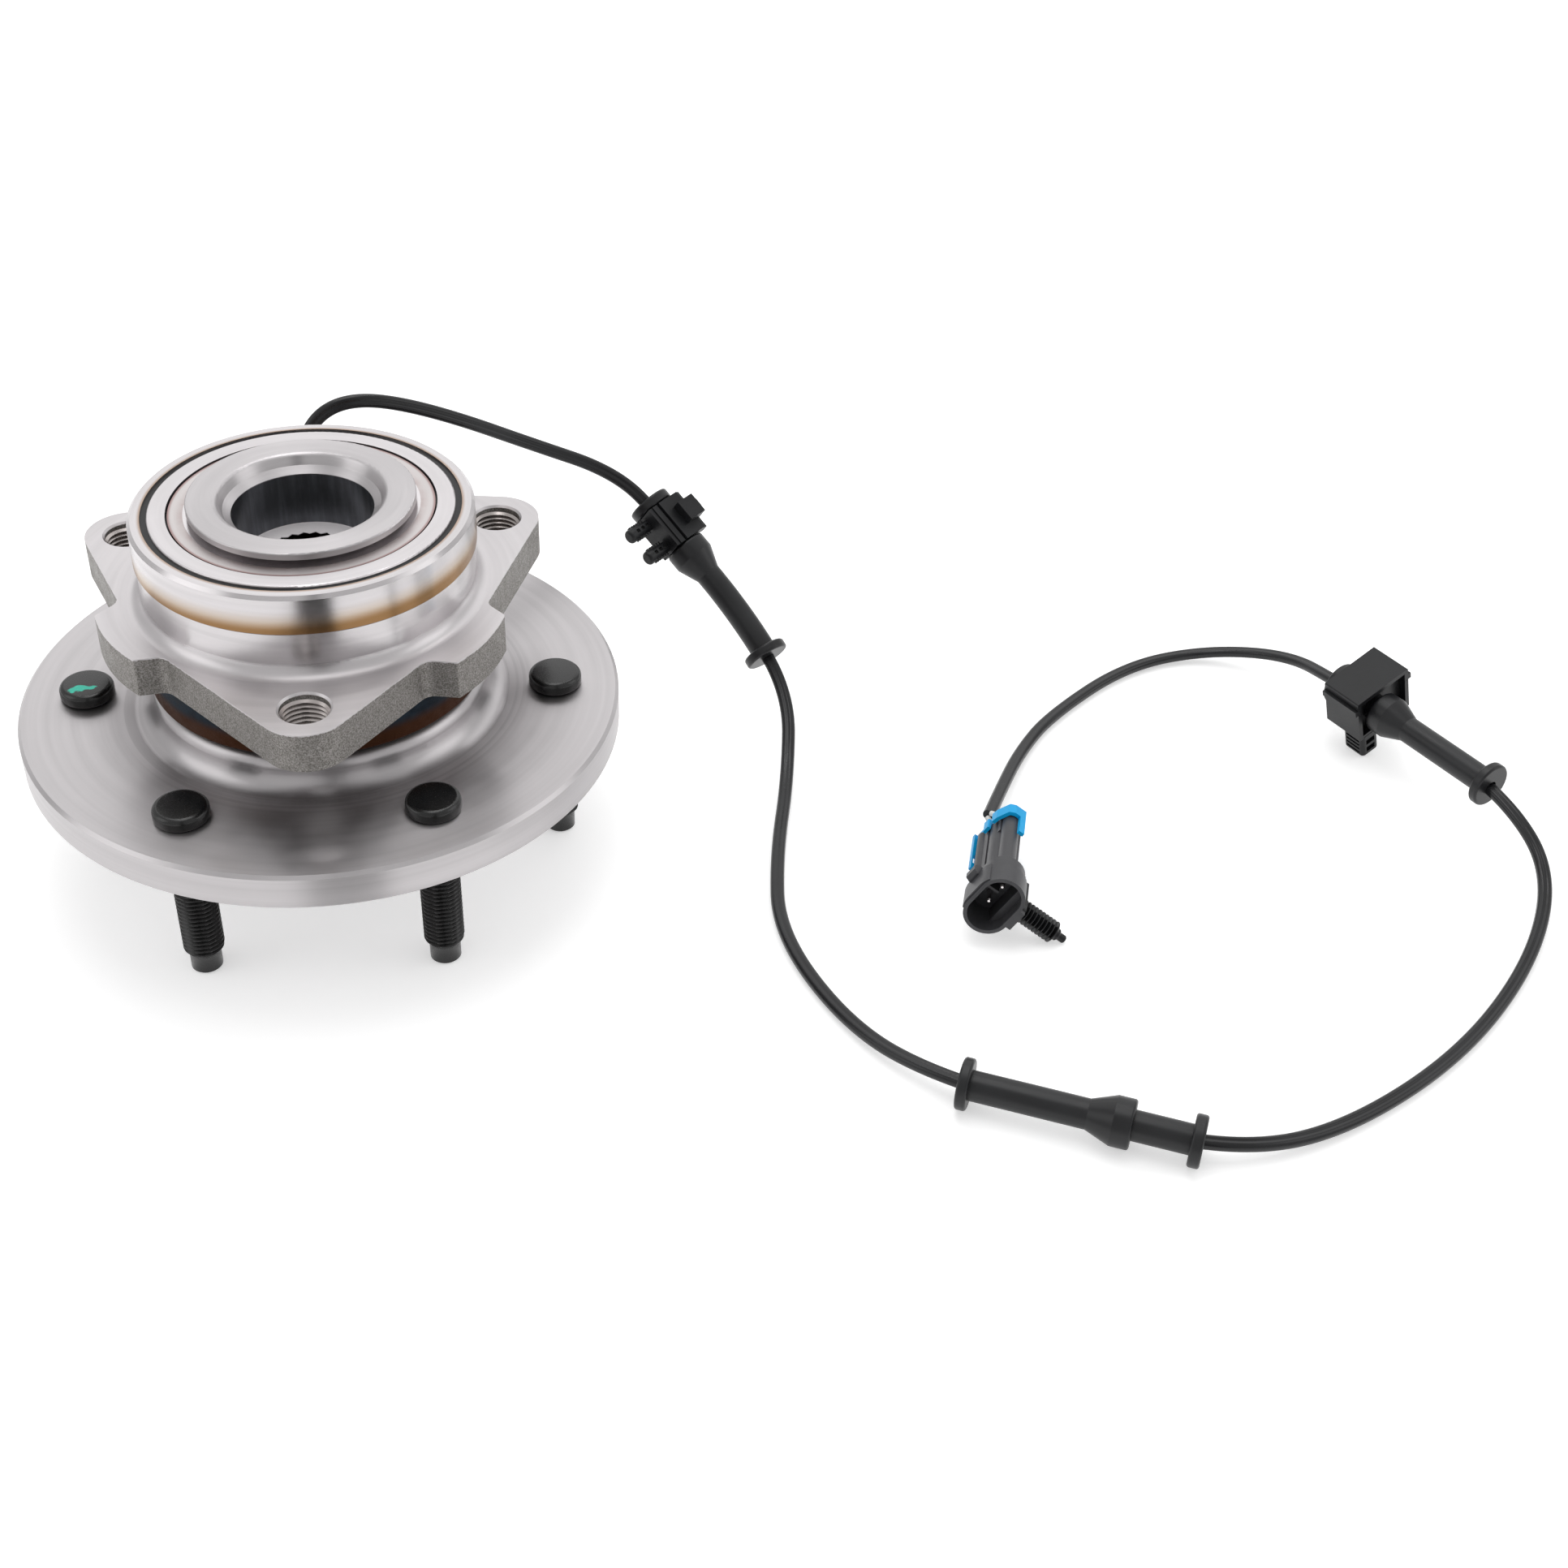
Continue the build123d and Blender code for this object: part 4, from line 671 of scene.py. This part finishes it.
def make_studs_and_threads(finishes):
    tree = circle_of_pieces()
    studs = tree.run(add_object("wheel_stud", stud_mesh()), Count=stud_count,
                     Radius=stud_circle / 2 * mm, Turn=math.radians(hub_rest_angle),
                     Finish=finishes["stud"])
    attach(studs, "hub")
    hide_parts("wheel_studs")
    threads = tree.run(add_object("knuckle_thread", thread_ridge_mesh()), Count=lobe_count,
                       Radius=knuckle_circle / 2 * mm, Turn=math.radians(first_lobe_angle),
                       Finish=finishes["thread"])
    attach(threads, "knuckle_side")


# ---- Cable --------------------------------------------------------------------------------------
def cable_spline():
    curve = bpy.data.curves.new("cable_route", "CURVE")
    curve.dimensions = "3D"
    curve.resolution_u = 14
    spline = curve.splines.new("NURBS")
    spline.points.add(len(cable_points) - 1)
    for point, place in zip(spline.points, cable_points):
        point.co = (*(Vector(place) * mm), 1.0)
    spline.order_u = 3
    spline.use_endpoint_u = True
    return add_object("cable_route", curve)


def centre_line():
    """Points along the route's smooth curve."""
    route = cable_spline()
    line = bpy.data.meshes.new_from_object(route)
    points = [vertex.co.copy() for vertex in line.vertices]
    bpy.data.objects.remove(route)
    return points


def twin_section(steps=40):
    """Outline of the flat twin jacket: two cores side by side with a soft groove between."""
    outline = []
    for step in range(steps):
        turn = 2 * math.pi * step / steps
        across = math.cos(turn)
        dip = cable_groove * math.exp(-(across / 0.28) ** 2)
        flat = cable_thick / 2 * math.copysign(abs(math.sin(turn)) ** 0.8, math.sin(turn))
        outline.append((across * cable_width / 2, flat - math.copysign(dip, flat)))
    return outline


def swept(name, line, section, side):
    """Closed tube of a section along a line, carried along without twist from side."""
    points = []
    ways = [(after - before).normalized() for before, after in zip(line, line[1:])]
    ways.append(ways[-1])
    across = Vector(side)
    for place, way in zip(line, ways):
        across = (across - way * across.dot(way)).normalized()
        up = way.cross(across)
        points += [place / mm + across * a + up * b for a, b in section]
    count = len(section)
    faces = [tuple(range(count)), tuple(range(len(points) - count, len(points)))]
    for ring in range(len(line) - 1):
        for index in range(count):
            nearby = (index + 1) % count
            here = ring * count
            faces.append((here + index, here + nearby, here + count + nearby, here + count + index))
    return add_object(name, mesh_from(name, points, faces, 60.0))


def make_cable(finishes):
    line = centre_line()
    cable = swept("twin_cable", line, twin_section(), (1.0, 0.0, 0.0))
    cable.data.materials.append(finishes["cable"])
    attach(cable, "knuckle_side")
    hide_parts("cable")


# ---- Floor, light and camera --------------------------------------------------------------------
def front_wedge(tree, place, inner, outer):
    """1 in the wedge of the room in front of the object, 0 outside, and the distance ahead."""
    along = tree.nodes.new("ShaderNodeVectorMath")
    along.operation = "DOT_PRODUCT"
    along.inputs[1].default_value = room_ahead
    across = tree.nodes.new("ShaderNodeVectorMath")
    across.operation = "DOT_PRODUCT"
    across.inputs[1].default_value = room_aside
    tree.links.new(place, along.inputs[0])
    tree.links.new(place, across.inputs[0])
    aside = stage_maths(tree, "ABSOLUTE", across.outputs["Value"])
    ahead = stage_maths(tree, "MAXIMUM", along.outputs["Value"], 0.0001)
    slope = stage_maths(tree, "DIVIDE", aside, ahead)
    inside = stage_range(tree, slope, inner, outer, 1.0, 0.0)
    return inside, along.outputs["Value"]


def stage_maths(tree, operation, *values):
    made = tree.nodes.new("ShaderNodeMath")
    made.operation = operation
    for socket, value in zip(made.inputs, values):
        if isinstance(value, bpy.types.NodeSocket):
            tree.links.new(value, socket)
        else:
            socket.default_value = value
    return made.outputs[0]


def stage_range(tree, value, low, high, to_low, to_high):
    made = tree.nodes.new("ShaderNodeMapRange")
    made.interpolation_type = "SMOOTHSTEP"
    tree.links.new(value, made.inputs["Value"])
    limits = {"From Min": low, "From Max": high, "To Min": to_low, "To Max": to_high}
    for socket, number in limits.items():
        made.inputs[socket].default_value = number
    return made.outputs["Result"]


def make_floor():
    """Pale floor; polished steel sees a dark card lying on it in front of the object."""
    height = floor_height * mm
    mesh = bpy.data.meshes.new("floor")
    corners = [(-floor_size, -floor_size, height), (floor_size, -floor_size, height),
               (floor_size, floor_size, height), (-floor_size, floor_size, height)]
    mesh.from_pydata(corners, [], [(0, 1, 2, 3)])
    floor = add_object("floor", mesh)
    material = bpy.data.materials.new("pale_floor")
    material.use_nodes = True
    tree = material.node_tree
    shader = tree.nodes["Principled BSDF"]
    shader.inputs["Roughness"].default_value = 0.9
    shader.inputs["Specular IOR Level"].default_value = 0.1
    shader.inputs["Emission Color"].default_value = (1.0, 1.0, 1.0, 1.0)
    ray = tree.nodes.new("ShaderNodeLightPath")
    place = tree.nodes.new("ShaderNodeTexCoord")
    inside, along = front_wedge(tree, place.outputs["Object"], *card_wedge)
    away = stage_range(tree, along, *card_start, 0.0, 1.0)
    card = stage_maths(tree, "MULTIPLY", stage_maths(tree, "MULTIPLY", inside, away),
                       ray.outputs["Is Glossy Ray"])
    colour = tree.nodes.new("ShaderNodeMix")
    colour.data_type = "RGBA"
    colour.inputs[6].default_value = floor_colour
    colour.inputs[7].default_value = card_colour
    tree.links.new(card, colour.inputs["Factor"])
    tree.links.new(colour.outputs[2], shader.inputs["Base Color"])
    seen = stage_maths(tree, "MAXIMUM", ray.outputs["Is Camera Ray"], ray.outputs["Is Glossy Ray"])
    clear = stage_maths(tree, "SUBTRACT", 1.0, card)
    lift = stage_maths(tree, "MULTIPLY", stage_maths(tree, "MULTIPLY", seen, clear), floor_lift)
    tree.links.new(lift, shader.inputs["Emission Strength"])
    mesh.materials.append(material)


def make_world():
    """White backdrop round a dim room with a dark wedge in front of the object."""
    world = bpy.data.worlds.new("studio")
    bpy.context.scene.world = world
    world.use_nodes = True
    tree = world.node_tree
    shade = tree.nodes["Background"]
    shade.inputs["Color"].default_value = (1.0, 1.0, 1.0, 1.0)
    ray = tree.nodes.new("ShaderNodeLightPath")
    way = tree.nodes.new("ShaderNodeTexCoord")
    inside = front_wedge(tree, way.outputs["Generated"], *room_wedge)[0]
    room = stage_maths(tree, "MULTIPLY_ADD", inside, -room_wedge_depth, room_level)
    seen = tree.nodes.new("ShaderNodeMix")
    seen.inputs["B"].default_value = 1.0
    tree.links.new(ray.outputs["Is Camera Ray"], seen.inputs["Factor"])
    tree.links.new(room, seen.inputs["A"])
    tree.links.new(seen.outputs[0], shade.inputs["Strength"])


def soft_box(name, place, aim, size, power):
    light = bpy.data.lights.new(name, "AREA")
    light.shape = "RECTANGLE"
    light.size, light.size_y = size
    light.energy = power
    made = bpy.data.objects.new(name, light)
    bpy.context.scene.collection.objects.link(made)
    made.location = place
    made.rotation_mode = "QUATERNION"
    made.rotation_quaternion = (Vector(aim) - Vector(place)).to_track_quat("-Z", "Y")


def make_lights():
    middle = (0.12, -0.02, 0.0)
    soft_box("back_soft_box", (0.30, 1.15, 0.95), middle, (2.2, 1.2), 5.0)
    soft_box("strip_light", (0.10, 0.55, 1.35), middle, (1.3, 0.10), 2.8)
    soft_box("left_soft_box", (-1.3, -0.2, 0.8), middle, (0.9, 1.1), 3.0)
    soft_box("right_soft_box", (1.5, -0.2, 0.8), middle, (0.9, 1.1), 3.0)
    soft_box("top_soft_box", (0.05, 0.05, 1.7), middle, (0.9, 0.7), 4.5)


def make_camera():
    camera = bpy.data.cameras.new("camera")
    camera.lens = camera_lens
    camera.sensor_width = camera_sensor
    camera.sensor_fit = "HORIZONTAL"
    camera.clip_start = 0.01
    camera.clip_end = 50.0
    made = bpy.data.objects.new("camera", camera)
    bpy.context.scene.collection.objects.link(made)
    made.location = camera_place
    made.rotation_mode = "QUATERNION"
    level = Vector(camera_way).to_track_quat("-Z", "Y")
    made.rotation_quaternion = level @ Quaternion((0, 0, 1), math.radians(camera_roll))
    bpy.context.scene.camera = made


def make_scene():
    bpy.context.scene.view_settings.view_transform = "Standard"
    make_camera()
    make_floor()
    make_world()
    make_lights()
    finishes = make_finishes()
    dress_nodes(finishes)
    make_studs_and_threads(finishes)
    make_cable(finishes)


make_scene()
